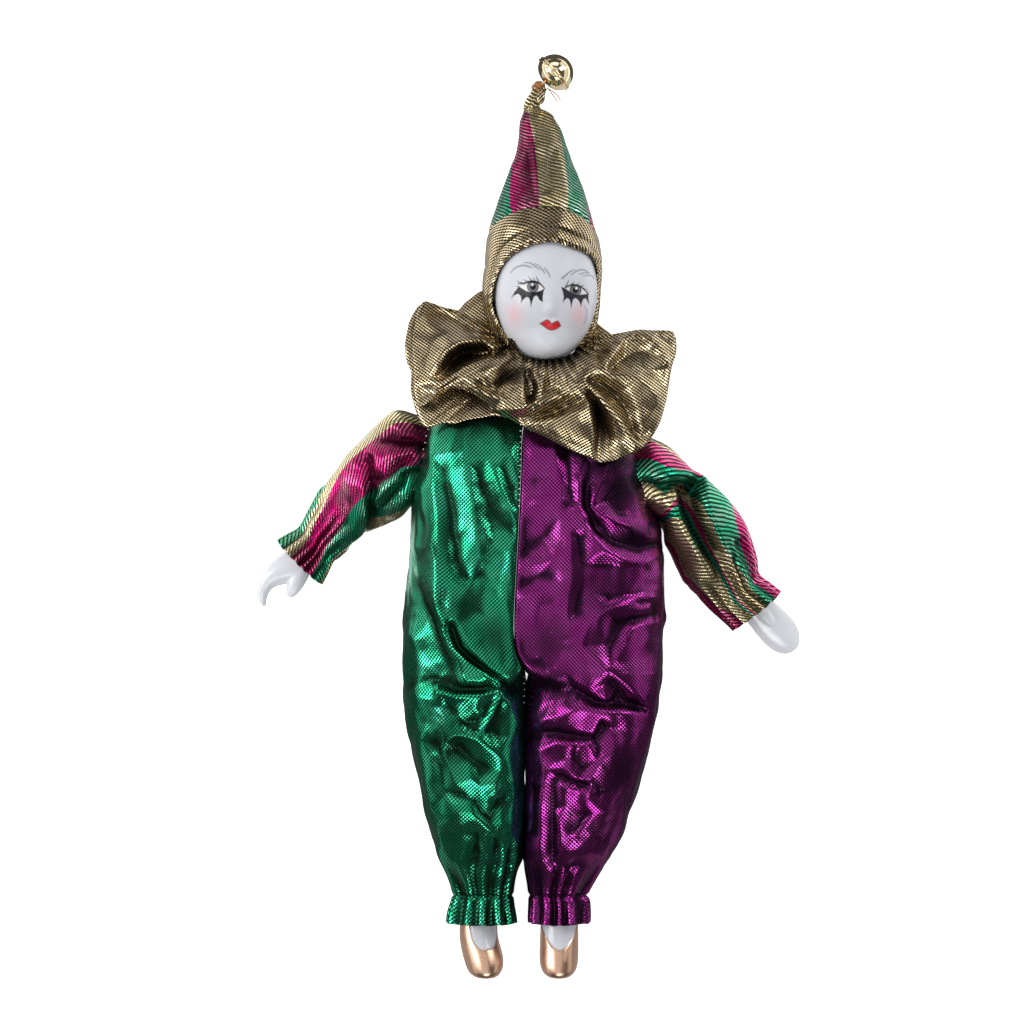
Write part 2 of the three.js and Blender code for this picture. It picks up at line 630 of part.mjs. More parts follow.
const doll = new THREE.Group();
doll.name = 'porcelain_clown_doll';
doll.add(
  mesh('head', head, COLOURS.porcelain, glaze),
  mesh('hood', hood, COLOURS.gold, lame),
  mesh('hat', hat, COLOURS.stripe, lame),
  mesh('bell', bell, COLOURS.brass, { metalness: 1, roughness: 0.15 }),
  mesh('bell_tie', tie, COLOURS.thread),
  mesh('ruff', ruff, COLOURS.gold, lame),
  mesh('romper_green_half', romperGreen, COLOURS.green, lame),
  mesh('romper_purple_half', romperPurple, COLOURS.purple, lame),
  mesh('sleeve_right', sleeveRight, COLOURS.stripe, lame),
  mesh('sleeve_left', sleeveLeft, COLOURS.stripe, lame),
  mesh('hand_right', handRight, COLOURS.porcelain, glaze),
  mesh('hand_left', handLeft, COLOURS.porcelain, glaze),
  mesh('leg_right', legRight, COLOURS.porcelain, glaze),
  mesh('leg_left', legLeft, COLOURS.porcelain, glaze),
);

export default doll;
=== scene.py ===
# %% [markdown]
# A costume doll of a clown, lying on its back: a glazed porcelain head, hands and feet on a soft
# stuffed body, dressed in metallic cloth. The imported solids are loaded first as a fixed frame. Every
# visible piece is then made around them, in metres, in the same place.

# %% Load the frame
import math

import bmesh
import bpy
import numpy as np
from mathutils import Matrix, Vector
from mathutils.geometry import delaunay_2d_cdt


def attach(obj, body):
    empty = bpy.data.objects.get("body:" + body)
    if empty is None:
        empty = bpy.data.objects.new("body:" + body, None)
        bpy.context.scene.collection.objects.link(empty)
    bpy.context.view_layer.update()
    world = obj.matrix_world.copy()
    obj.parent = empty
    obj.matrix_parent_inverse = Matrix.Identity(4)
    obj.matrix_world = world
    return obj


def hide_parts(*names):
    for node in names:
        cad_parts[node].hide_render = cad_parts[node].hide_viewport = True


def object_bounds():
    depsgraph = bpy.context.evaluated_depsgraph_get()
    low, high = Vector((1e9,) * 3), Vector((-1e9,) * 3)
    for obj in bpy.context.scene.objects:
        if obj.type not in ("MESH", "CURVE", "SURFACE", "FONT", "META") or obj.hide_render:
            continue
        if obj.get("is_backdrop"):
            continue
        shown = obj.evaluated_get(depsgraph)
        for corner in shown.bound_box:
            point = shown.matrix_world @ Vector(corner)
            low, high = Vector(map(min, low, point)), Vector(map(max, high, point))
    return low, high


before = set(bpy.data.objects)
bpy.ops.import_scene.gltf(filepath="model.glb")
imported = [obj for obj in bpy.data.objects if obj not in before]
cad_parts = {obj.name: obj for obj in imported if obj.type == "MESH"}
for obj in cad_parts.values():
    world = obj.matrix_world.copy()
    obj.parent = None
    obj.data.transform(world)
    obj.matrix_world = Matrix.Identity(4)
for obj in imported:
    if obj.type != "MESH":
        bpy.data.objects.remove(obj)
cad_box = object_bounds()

MM = 0.001
print("solids loaded:", ", ".join(sorted(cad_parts)))

# %% [markdown]
# The photograph is a flat lay, taken from straight above with a long lens. One pixel is 0.27 mm at
# the height of the doll's outline, so the camera's height follows from the lens and that scale.

# %% Camera
PIXEL = 0.27 * MM
PICTURE = 1024
PICTURE_MIDDLE = Vector((-4.3, 0.4, 0)) * MM  # what lies under the middle of the picture
OUTLINE = 9 * MM

camera = bpy.data.objects.new("camera", bpy.data.cameras.new("camera"))
bpy.context.collection.objects.link(camera)
camera.data.lens = 120
camera.data.sensor_width = 36
camera.data.clip_start = 0.05
reach = PIXEL * PICTURE * camera.data.lens / camera.data.sensor_width
camera.location = PICTURE_MIDDLE + Vector((0, 0, OUTLINE + reach))
bpy.context.scene.camera = camera
print("camera height", round(reach, 3), "m")

# %% [markdown]
# Metallic cloth and glaze show what they reflect. A wide ceiling and soft boxes at the sides, head and
# feet give broad highlights, and the gaps between them give the folds their depth. The pale floor is
# hidden from glossy surfaces, which see cards of their own strengths just under it instead.

# %% Floor and light
bpy.context.scene.view_settings.view_transform = "Standard"
WHITE = (1, 1, 1, 1)
CARD_DEPTH = -0.002
CARDS = (  # name, middle, size and glow
    ("head_card", (0.002, 0.088), (0.08, 0.055), 0.3), ("left_card", (-0.219, 0.1925), (0.36, 0.425), 1.1),
    ("right_card", (0.229, 0.1925), (0.37, 0.425), 1.1), ("foot_card", (0, -0.16), (0.3, 0.1), 0.12))
SOFT_BOXES = (  # name, place, size and watts; each faces the doll
    ("ceiling", (-0.35, 0.1, 1.6), (2.3, 2.0), 11.5), ("left_box", (-0.95, 0.1, 0.7), (0.4, 0.8), 7),
    ("left_wall", (-1.1, 0.0, 0.28), (1.6, 0.5), 2.2), ("right_wall", (1.1, 0.05, 0.3), (1.4, 0.5), 1.8),
    ("right_box", (0.85, 0.6, 0.7), (0.4, 0.6), 4), ("head_box", (0.0, 1.05, 0.7), (0.9, 0.4), 2),
    ("left_shoulder_box", (-0.8, 0.75, 0.3), (0.8, 0.5), 1.2),
    ("right_shoulder_box", (0.8, 0.75, 0.3), (0.8, 0.5), 1.2),
    ("foot_box", (0.1, -0.9, 0.95), (0.7, 0.3), 5))


def principled(name, **values):
    """A new material and its shader, with its sockets set by name, _ for each space."""
    material = bpy.data.materials.new(name)
    material.use_nodes = True
    shader = material.node_tree.nodes["Principled BSDF"]
    for socket, value in values.items():
        shader.inputs[socket.replace("_", " ")].default_value = value
    return material, shader


def glowing_plane(name, grey, glow, middle=(0, 0), depth=0, size=(1, 1), whole=1):
    """A staged plane that lights the doll a little."""
    bpy.ops.mesh.primitive_plane_add(size=whole, location=(*middle, depth))
    plane = bpy.context.object
    plane.name = name
    plane.scale = (*size, 1)
    bpy.ops.object.transform_apply(location=True, rotation=False, scale=True)
    paint, _ = principled(name, Base_Color=(grey, grey, grey, 1), Roughness=0.9, Emission_Color=WHITE,
                          Emission_Strength=glow)
    plane.data.materials.append(paint)
    plane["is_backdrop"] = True
    return plane


def soft_box(name, place, size, watts):
    light = bpy.data.lights.new(name, "AREA")
    light.shape = "RECTANGLE"
    light.size, light.size_y = size
    light.energy = watts
    box = bpy.data.objects.new(name, light)
    bpy.context.collection.objects.link(box)
    box.location = place
    box.rotation_euler = (-Vector(place)).to_track_quat("-Z", "Y").to_euler()


floor = glowing_plane("floor", 0.9, 0.8, whole=6)
floor.visible_glossy = False
world = bpy.data.worlds.new("studio")
bpy.context.scene.world = world
world.use_nodes = True
world.node_tree.nodes["Background"].inputs["Color"].default_value = WHITE
world.node_tree.nodes["Background"].inputs["Strength"].default_value = 0.1
for name, middle, size, glow in CARDS:
    glowing_plane(name, 0.3, glow, middle, CARD_DEPTH, size)
for box in SOFT_BOXES:
    soft_box(*box)
print(len(CARDS), "cards and", len(SOFT_BOXES), "soft boxes")

# %% [markdown]
# Smooth curves through a few measured pairs serve for every outline. Each piece then gets a name, its
# place on the body, the solid that it stands for and its finish.

# %% Curves and piece handling


def through(pairs, x):
    """A smooth curve through (place, value) pairs in rising order of place."""
    place = np.array([p for p, _ in pairs], float)
    value = np.array([v for _, v in pairs], float)
    middle = (value[2:] - value[:-2]) / (place[2:] - place[:-2])
    slope = np.concatenate([[(value[1] - value[0]) / (place[1] - place[0])], middle,
                            [(value[-1] - value[-2]) / (place[-1] - place[-2])]])
    x = np.clip(x, place[0], place[-1])
    i = np.clip(np.searchsorted(place, x, side="right") - 1, 0, len(place) - 2)
    h = place[i + 1] - place[i]
    t = (x - place[i]) / h
    return (value[i] * (1 + 2 * t) * (1 - t) ** 2 + value[i + 1] * t * t * (3 - 2 * t)
            + h * t * (1 - t) * (slope[i] * (1 - t) - slope[i + 1] * t))


def lengths(points):
    """How far along its row each point lies."""
    steps = np.linalg.norm(np.diff(points, axis=-2), axis=-1)
    return np.concatenate([np.zeros_like(steps[..., :1]), np.cumsum(steps, -1)], -1)


def at_lengths(path, at):
    return np.stack([np.interp(at, lengths(path), path[:, k]) for k in range(3)], 1)


def curve(points, t):
    """A smooth path through points; t runs from 0 to 1 over its own length."""
    points = np.array(points, float)
    arc = lengths(points)
    arc /= arc[-1]
    return np.stack([through(list(zip(arc, points[:, k])), t) for k in range(points.shape[1])], -1)


def in_mm(parts, *rows):
    """Rows of points noted in whole parts of a mm: 10 for tenths, 100 for hundredths."""
    return [np.array(row) / parts for row in rows]


def smooth(x, low, high):
    t = np.clip((x - low) / (high - low), 0, 1)
    return t * t * (3 - 2 * t)


def spow(x, power):
    return np.sign(x) * np.abs(x) ** power


def nearness(height):
    """How much larger things at a height in mm appear than on the plane of the doll's outline."""
    return 1 / (1 - (height - OUTLINE / MM) / (reach / MM))


def seen(points):
    """Where points in mm appear in the photograph, on the plane of the doll's outline."""
    middle = np.array(PICTURE_MIDDLE[:2]) / MM
    return middle + (points[..., :2] - middle) * nearness(points[..., 2:])


def in_place(spots):
    """The true places in mm of points given as they appear, each with its height."""
    spots = np.array(spots, float)
    middle = np.array(PICTURE_MIDDLE[:2]) / MM
    flat = middle + (spots[..., :2] - middle) / nearness(spots[..., 2:])
    return np.concatenate([flat, spots[..., 2:]], -1)


def added(operator, name=None, **settings):
    """What an operator of bpy.ops adds, with nothing else selected."""
    bpy.ops.object.select_all(action="DESELECT")
    operator(**settings)
    piece = bpy.context.object
    piece.name = name or piece.name
    return piece


def only(piece):
    bpy.ops.object.select_all(action="DESELECT")
    bpy.context.view_layer.objects.active = piece
    piece.select_set(True)


def outward(piece):
    """Turns a closed mesh's faces to the outside."""
    shell = bmesh.new()
    shell.from_mesh(piece.data)
    bmesh.ops.recalc_face_normals(shell, faces=shell.faces)
    if shell.calc_volume(signed=True) < 0:
        bmesh.ops.reverse_faces(shell, faces=shell.faces)
    shell.to_mesh(piece.data)
    shell.free()


def joined(parts, name):
    """All the parts as one piece."""
    bpy.ops.object.select_all(action="DESELECT")
    for part in parts:
        part.select_set(True)
    bpy.context.view_layer.objects.active = parts[0]
    bpy.ops.object.join()
    parts[0].name = name
    return parts[0]


def skin(piece, material):
    """Smooth shading all over, and one material."""
    piece.data.polygons.foreach_set("use_smooth", [True] * len(piece.data.polygons))
    piece.data.materials.clear()
    piece.data.materials.append(material)


def modified(piece, name, kind, **settings):
    """Adds a modifier and applies it."""
    only(piece)
    modifier = piece.modifiers.new(name, kind)
    for setting, value in settings.items():
        setattr(modifier, setting, value)
    bpy.ops.object.modifier_apply(modifier=name)


def rounded(piece, levels=2):
    modified(piece, "round", "SUBSURF", levels=levels, render_levels=levels)


def dress(piece, node=None):
    """The finished piece hangs on the root body and stands for its solid, which is hidden."""
    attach(piece, "root")
    if node:
        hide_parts(node)
    print(piece.name, len(piece.data.polygons), "faces")
    return piece


# %% [markdown]
# Metallic cloth is a plain weave of flat foil strips over a dark thread. Where a strip floats over
# the thread it shines, and where it dips the dark thread shows, so the cloth is a grid of bright dots.
# One node group makes that weave for every colour of cloth from its UV map in metres.

# %% Weave shared by the plain metallic cloths


def node_group(name, inputs, outputs):
    group = bpy.data.node_groups.new(name, "ShaderNodeTree")
    for label, kind, value in inputs:
        socket = group.interface.new_socket(label, in_out="INPUT", socket_type="NodeSocket" + kind)
        if value is not None:
            socket.default_value = value
    for label, kind in outputs:
        group.interface.new_socket(label, in_out="OUTPUT", socket_type="NodeSocket" + kind)
    return group, group.nodes.new("NodeGroupInput").outputs, group.nodes.new("NodeGroupOutput")


class Wiring:
    """Short forms for adding nodes to one node tree."""

    def __init__(self, tree):
        self.tree = tree

    def node(self, kind, **settings):
        node = self.tree.nodes.new("ShaderNode" + kind)
        for setting, value in settings.items():
            setattr(node, setting, value)
        return node

    def feed(self, socket, value):
        if isinstance(value, bpy.types.NodeSocket):
            self.tree.links.new(value, socket)
        else:
            socket.default_value = value

    def fill(self, node, **values):
        """Feeds a node's inputs by name, _ for each space, and gives its outputs."""
        for name, value in values.items():
            self.feed(node.inputs[name.replace("_", " ")], value)
        return node.outputs

    def math(self, operation, *values):
        node = self.node("Math", operation=operation)
        for socket, value in zip(node.inputs, values):
            self.feed(socket, value)
        return node.outputs[0]

    def ramp(self, value, low, high, out_low=0.0, out_high=1.0):
        node = self.node("MapRange", interpolation_type="SMOOTHSTEP")
        for socket, item in zip(node.inputs, (value, low, high, out_low, out_high)):
            self.feed(socket, item)
        return node.outputs[0]

    def mix(self, factor, first, second):
        node = self.node("Mix", data_type="RGBA")
        for place, value in (("Factor", factor), (6, first), (7, second)):  # 6 and 7 are its colours
            self.feed(node.inputs[place], value)
        return node.outputs[2]

    def split(self, vector):
        return self.fill(self.node("SeparateXYZ"), Vector=vector)

    def noise(self, vector, scale, detail):
        return self.fill(self.node("TexNoise"), Vector=vector, Scale=scale, Detail=detail)["Fac"]

    def bump(self, height, strength, distance):
        return self.fill(self.node("Bump"), Strength=strength, Distance=distance, Height=height)[0]

    def attribute(self, name):
        return self.node("Attribute", attribute_name=name).outputs

    def lit(self, mask):
        """The foil's mask, darkened where a point attribute holds painted shade or the dark seam line."""
        left = self.math("SUBTRACT", 1.0, self.attribute("painted_shade_and_seam")["Fac"])
        return self.math("MULTIPLY", mask, self.math("MULTIPLY", left, left))

    def cloth_map(self):
        return self.node("UVMap", uv_map="cloth").outputs[0]

    def place(self):
        return self.node("TexCoord").outputs["Object"]

    def effect(self, tree, **values):
        return self.fill(self.node("Group", node_tree=tree), **values)


def make_weave():
    group, given, out = node_group(
        "plain_weave", [("Cloth", "Vector", None), ("Pitch", "Float", 0.0004), ("Rows", "Float", 0.2)],
        [("Foil", "Float"), ("Height", "Float")])
    w = Wiring(group)
    u, v, _ = w.split(given["Cloth"])
    wander = w.math("MULTIPLY", w.noise(given["Cloth"], 300.0, 1.0), 0.6)
    turns = w.math("ADD", w.math("DIVIDE", u, given["Pitch"]), wander)
    other = w.math("DIVIDE", v, given["Pitch"])
    rows, beads = (w.math("COSINE", w.math("MULTIPLY", w.math(way, turns, other), math.pi))
                   for way in ("SUBTRACT", "ADD"))
    more, less = (w.math("MULTIPLY_ADD", given["Rows"], k, 0.5) for k in (0.5, -0.5))
    over = w.math("ADD", w.math("MULTIPLY", rows, more), w.math("MULTIPLY", beads, less))
    w.fill(out, Foil=w.ramp(over, -0.12, 0.22), Height=over)
    return group


WEAVE = make_weave()


def lame(name, foil, thread, rows, sheen, rough, worn=1.0):
    """Plain metallic cloth: foil and thread are its two colours, sheen is where the foil is worn. rows is
    how far the dots join up in slanted rows."""
    material, shader = principled(name, Specular_IOR_Level=0.2)
    w = Wiring(material.node_tree)
    uv = w.cloth_map()
    weave = w.effect(WEAVE, Cloth=uv, Pitch=WEAVE_PITCH, Rows=rows)
    wear = w.ramp(w.noise(uv, 160.0, 4.0), 0.3, 0.8, 0.0, worn)
    tint = w.mix(wear, (*foil, 1), (*sheen, 1))
    w.fill(shader, Base_Color=w.mix(w.lit(weave["Foil"]), (*thread, 1), tint),
           Metallic=w.ramp(weave["Foil"], 0.0, 1.0, 0.5, 1.0),
           Roughness=w.ramp(weave["Foil"], 0.0, 1.0, 0.45, rough),
           Normal=w.bump(weave["Height"], 0.2, 0.0001))
    return material


WEAVE_PITCH = 0.5 * MM
GREEN_LAME = lame("emerald_cloth", (0.012, 0.46, 0.22), (0.001, 0.014, 0.007), 0.15,
                  (0.06, 0.6, 0.34), 0.16)
PURPLE_LAME = lame("violet_cloth", (0.38, 0.02, 0.27), (0.01, 0.001, 0.01), 0.15,
                   (0.48, 0.06, 0.37), 0.16)
GOLD_LAME = lame("gold_cloth", (0.62, 0.49, 0.29), (0.012, 0.006, 0.002), 0.3,
                 (0.85, 0.74, 0.52), 0.27, 0.35)
print("cloths:", GREEN_LAME.name, PURPLE_LAME.name, GOLD_LAME.name)

# %% [markdown]
# Foil-like cloth doesn't drape in soft waves. It breaks into flat facets that meet in creases. A
# crease net is a list of creases, each a row of points with a height above the smooth shape. Flat
# triangles are hung between them, and a little rounding takes the knife edge off.

# %% Crease nets


class Relief:
    """A height map in mm over a flat area, read between its grid points."""

    def __init__(self, low, step, grid):
        self.low, self.step, self.grid = low, step, grid

    def at(self, x, y):
        gx = np.clip((x - self.low[0]) / self.step, 0, self.grid.shape[1] - 1.001)
        gy = np.clip((y - self.low[1]) / self.step, 0, self.grid.shape[0] - 1.001)
        ix, iy = gx.astype(int), gy.astype(int)
        fx, fy = gx - ix, gy - iy
        g = self.grid
        return ((g[iy, ix] * (1 - fx) + g[iy, ix + 1] * fx) * (1 - fy)
                + (g[iy + 1, ix] * (1 - fx) + g[iy + 1, ix + 1] * fx) * fy)


def blurred(grid, width):
    """The grid smoothed over the given number of cells."""
    n = int(3 * width) + 1
    kernel = np.exp(-0.5 * (np.arange(-n, n + 1) / width) ** 2)
    kernel /= kernel.sum()
    for _ in range(2):
        padded = np.pad(grid, ((n, n), (0, 0)), mode="edge")
        grid = sum(k * padded[i:i + grid.shape[0]] for i, k in enumerate(kernel)).T
    return grid


def blurred_line(values, width):
    return blurred(values[:, None] * np.ones((1, 3)), width)[:, 0]


def crease_net(lines, step=0.25, rounding=0.3):
    """Flat facets hung between creases of (x, y, height) points."""
    spots = []
    for line in lines:
        line = np.array(line, float)
        for a, b in zip(line[:-1], line[1:]):
            n = max(1, int(math.hypot(*(b - a)[:2]) / 1.5))
            spots += [a + (b - a) * k / n for k in range(n)]
        spots.append(line[-1])
    spots = np.array(spots)
    corners, _, faces, origin, _, _ = delaunay_2d_cdt([Vector(s[:2]) for s in spots], [], [], 0, 1e-3)
    corners = np.array(corners)
    height = np.array([spots[o[0], 2] for o in origin])
    low = spots[:, :2].min(0)
    across, up = ((spots[:, :2].max(0) - low) / step + 2).astype(int)
    grid = np.zeros((up, across))
    for face in faces:
        (ax, ay), (bx, by), (cx, cy) = (corners[list(face)] - low) / step
        area = (bx - ax) * (cy - ay) - (cx - ax) * (by - ay)
        if abs(area) < 1e-9:
            continue
        x0, x1 = int(min(ax, bx, cx)), int(max(ax, bx, cx)) + 1
        y0, y1 = int(min(ay, by, cy)), int(max(ay, by, cy)) + 1
        gx, gy = np.meshgrid(np.arange(x0, x1 + 1), np.arange(y0, y1 + 1))
        wb = ((gx - ax) * (cy - ay) - (cx - ax) * (gy - ay)) / area
        wc = ((bx - ax) * (gy - ay) - (gx - ax) * (by - ay)) / area
        inside = (wb >= -1e-6) & (wc >= -1e-6) & (wb + wc <= 1 + 1e-6)
        ha, hb, hc = height[list(face)]
        value = ha + (hb - ha) * wb + (hc - ha) * wc
        view = grid[y0:y1 + 1, x0:x1 + 1]
        keep = inside[:view.shape[0], :view.shape[1]]
        view[keep] = value[:view.shape[0], :view.shape[1]][keep]
    return Relief(low, step, blurred(grid, rounding / step))


def crumple(seed, size, spacing, height, rounding=0.3):
    """Small random facets over an area of size (across, along), in mm, centred on zero."""
    chance = np.random.default_rng(seed)
    across, along = size
    columns, rows = int(across / spacing) + 2, int(along / spacing) + 2
    spots = []
    for r in range(rows):
        for c in range(columns):
            x = (c + 0.5 * (r % 2) + chance.uniform(-0.42, 0.42)) * spacing - across / 2 - spacing / 2
            y = (r + chance.uniform(-0.42, 0.42)) * spacing - along / 2 - spacing / 2
            spots.append([(x, y, height * chance.normal())])
    return crease_net(spots, step=0.4, rounding=rounding)


# %% [markdown]
# A stuffed trouser leg or sleeve is a tube of cloth: a row of closed rings, each with its points evenly
# spaced. The creases push the points out or in along the surface. At an open frill the cloth turns in
# at the hem and runs back inside, so that the frill is hollow and has a thickness.

# %% Tubes and sheets of cloth
CLOTH_WALL = 0.45
LOWEST, LINING_LIFT = 0.1, 0.4  # mm above the ground


def even_ring(ring, count):
    """Evenly spaced points round a closed outline, from its first point, and the outline's length."""
    closed = np.vstack([ring, ring[:1]])
    length = lengths(closed)[-1]
    return at_lengths(closed, np.linspace(0, length, count, endpoint=False)), length


def normals_of(points):
    """Outward unit normals of rings of points that run counter-clockwise seen along the tube."""
    around = np.roll(points, -1, 1) - np.roll(points, 1, 1)
    along = np.gradient(points, axis=0)
    normal = np.cross(around, along)
    normal /= np.maximum(np.linalg.norm(normal, axis=2, keepdims=True), 1e-9)
    middle = points.mean(1, keepdims=True)
    return -normal if ((points - middle) * normal).sum() < 0 else normal


def pushed(points, normal, push, lowest=LOWEST):
    """Points moved along their normals, but never below the lowest height allowed."""
    points = points + normal * push[..., None]
    points[..., 2] = np.maximum(points[..., 2], lowest)
    return points


def hollow_frill(points, uv, painted_shade_and_seam, frill):
    """Turns the cloth in at the hem and runs it back inside the rows of the open frill."""
    lining = (points - normals_of(points) * CLOTH_WALL)[frill][::-1]
    lining[..., 2] = np.maximum(lining[..., 2], LINING_LIFT)
    return [np.concatenate(pair) for pair in ((points, lining), (uv, uv[frill][::-1]),
                                              (painted_shade_and_seam, painted_shade_and_seam[frill][::-1]))]


def cloth_mesh(name, points, faces, corners, material, painted_shade_and_seam):
    """A smooth mesh of points in mm with its UV map, in mm too. The last argument says how far the foil is
    darkened at each point: painted shade deep in folds and hollows, and a dark line along the seam."""
    mesh = bpy.data.meshes.new(name)
    mesh.from_pydata((points * MM).tolist(), [], faces)
    layer = mesh.uv_layers.new(name="cloth")
    layer.data.foreach_set("uv", (np.array(corners, float) * MM).ravel())
    mesh.attributes.new("painted_shade_and_seam", "FLOAT", "POINT").data.foreach_set("value", painted_shade_and_seam)
    piece = bpy.data.objects.new(name, mesh)
    bpy.context.collection.objects.link(piece)
    skin(piece, material)
    return piece


def tube(name, points, uv, material, painted_shade_and_seam):
    """A closed mesh over rings of points."""
    rows, count = points.shape[:2]
    vertices = np.vstack([points.reshape(-1, 3), points[0].mean(0), points[-1].mean(0)])
    faces, corners = [], []
    for r in range(rows - 1):
        for c in range(count):
            n = (c + 1) % count
            faces.append((r * count + c, r * count + n, (r + 1) * count + n, (r + 1) * count + c))
            corners += [uv[r, c], uv[r, c + 1], uv[r + 1, c + 1], uv[r + 1, c]]
    for r, centre in ((0, rows * count), (rows - 1, rows * count + 1)):
        for c in range(count):
            n = (c + 1) % count
            faces.append((r * count + n, r * count + c, centre) if r == 0
                         else (r * count + c, r * count + n, centre))
            ends = [uv[r, c + 1], uv[r, c]] if r == 0 else [uv[r, c], uv[r, c + 1]]
            corners += ends + [uv[r].mean(0)]
    piece = cloth_mesh(name, vertices, faces, corners, material, np.append(painted_shade_and_seam.ravel(), [0, 0]))
    outward(piece)
    return piece


def sheet(name, points, uv, material, wall, painted_shade_and_seam, closed=False):
    """A sheet over rows of points, given its thickness. A closed one ends where it starts."""
    rows, count = points.shape[:2]
    faces, corners = [], []
    for r in range(rows if closed else rows - 1):
        n = (r + 1) % rows
        for c in range(count - 1):
            faces.append((r * count + c, r * count + c + 1, n * count + c + 1, n * count + c))
            corners += [uv[r, c], uv[r, c + 1], uv[r + 1, c + 1], uv[r + 1, c]]
    piece = cloth_mesh(name, points.reshape(-1, 3), faces, corners, material, painted_shade_and_seam.ravel())
    modified(piece, "thickness", "SOLIDIFY", thickness=wall * MM, offset=0)
    outward(piece)
    return piece


# %% [markdown]
# Painted shade: where deep folds and hollows of metallic cloth lie in shade, the foil's colour is darkened.
# Each is a soft spot, told as x, y, half width, half height and how dark it is painted.

# %% Painted shade in folds and hollows
# Soft spots of painted shade for each piece; the first emerald one is a painted shadow under the ruff.
GREEN_PAINTED_SHADE = [(-15, 26, 12, 4.5, 1), (-22, -5, 1.6, 8, 0.6), (-9, 4, 1.6, 5, 0.45),
                 (-17.5, -25, 5, 4, 0.4), (-9, -33, 4, 5, 0.55), (-26.5, -8, 2.5, 9, 0.6),
                 (-21, -62, 4, 9, 0.45)]
PURPLE_PAINTED_SHADE = [(22, 14, 9, 5, 0.97), (25, 7, 6, 6, 0.97), (28, -6.5, 5, 3.2, 0.85),
                  (18.5, -20, 6, 6, 0.35), (5.5, -35, 6, 6, 0.5), (7.5, -47, 5, 5, 0.75),
                  (25.5, -70, 4, 8, 0.5)]
HAT_PAINTED_SHADE = [(0.6, 94, 2.2, 6, 0.55), (6, 95, 2.2, 9, 0.35), (-7, 83, 2, 4, 0.25)]
RIGHT_SLEEVE_PAINTED_SHADE = [(-30, 20, 8, 3.2, 1), (-27, 8, 5, 8, 0.85), (-42.5, 0, 1.5, 6, 0.7)]
LEFT_SLEEVE_PAINTED_SHADE = [(44.4, 5.2, 2.6, 3.8, 1), (45.4, -1.5, 2.3, 4.5, 1), (47.6, -8, 1.8, 5, 0.9),
                       (51, -14.5, 1.5, 4, 0.75), (36, -4, 2.4, 3, 0.95)]


# Painted shade: how dark the foil is painted at each point, from the soft spots.
def painted_shade_spots(points, spots):
    dark = np.zeros(points.shape[:-1])
    x, y = np.moveaxis(seen(points), -1, 0)
    for at_x, at_y, wide, tall, shade_depth in spots:
        dark = np.maximum(dark, shade_depth * np.exp(-((x - at_x) / wide) ** 2 - ((y - at_y) / tall) ** 2))
    return dark


# %% [markdown]
# The romper is two cuts of cloth, sewn down the middle of the body: one emerald, one violet. Each runs
# from the shoulder to the trouser hem. Their outlines and creases are measured in mm on the photograph.

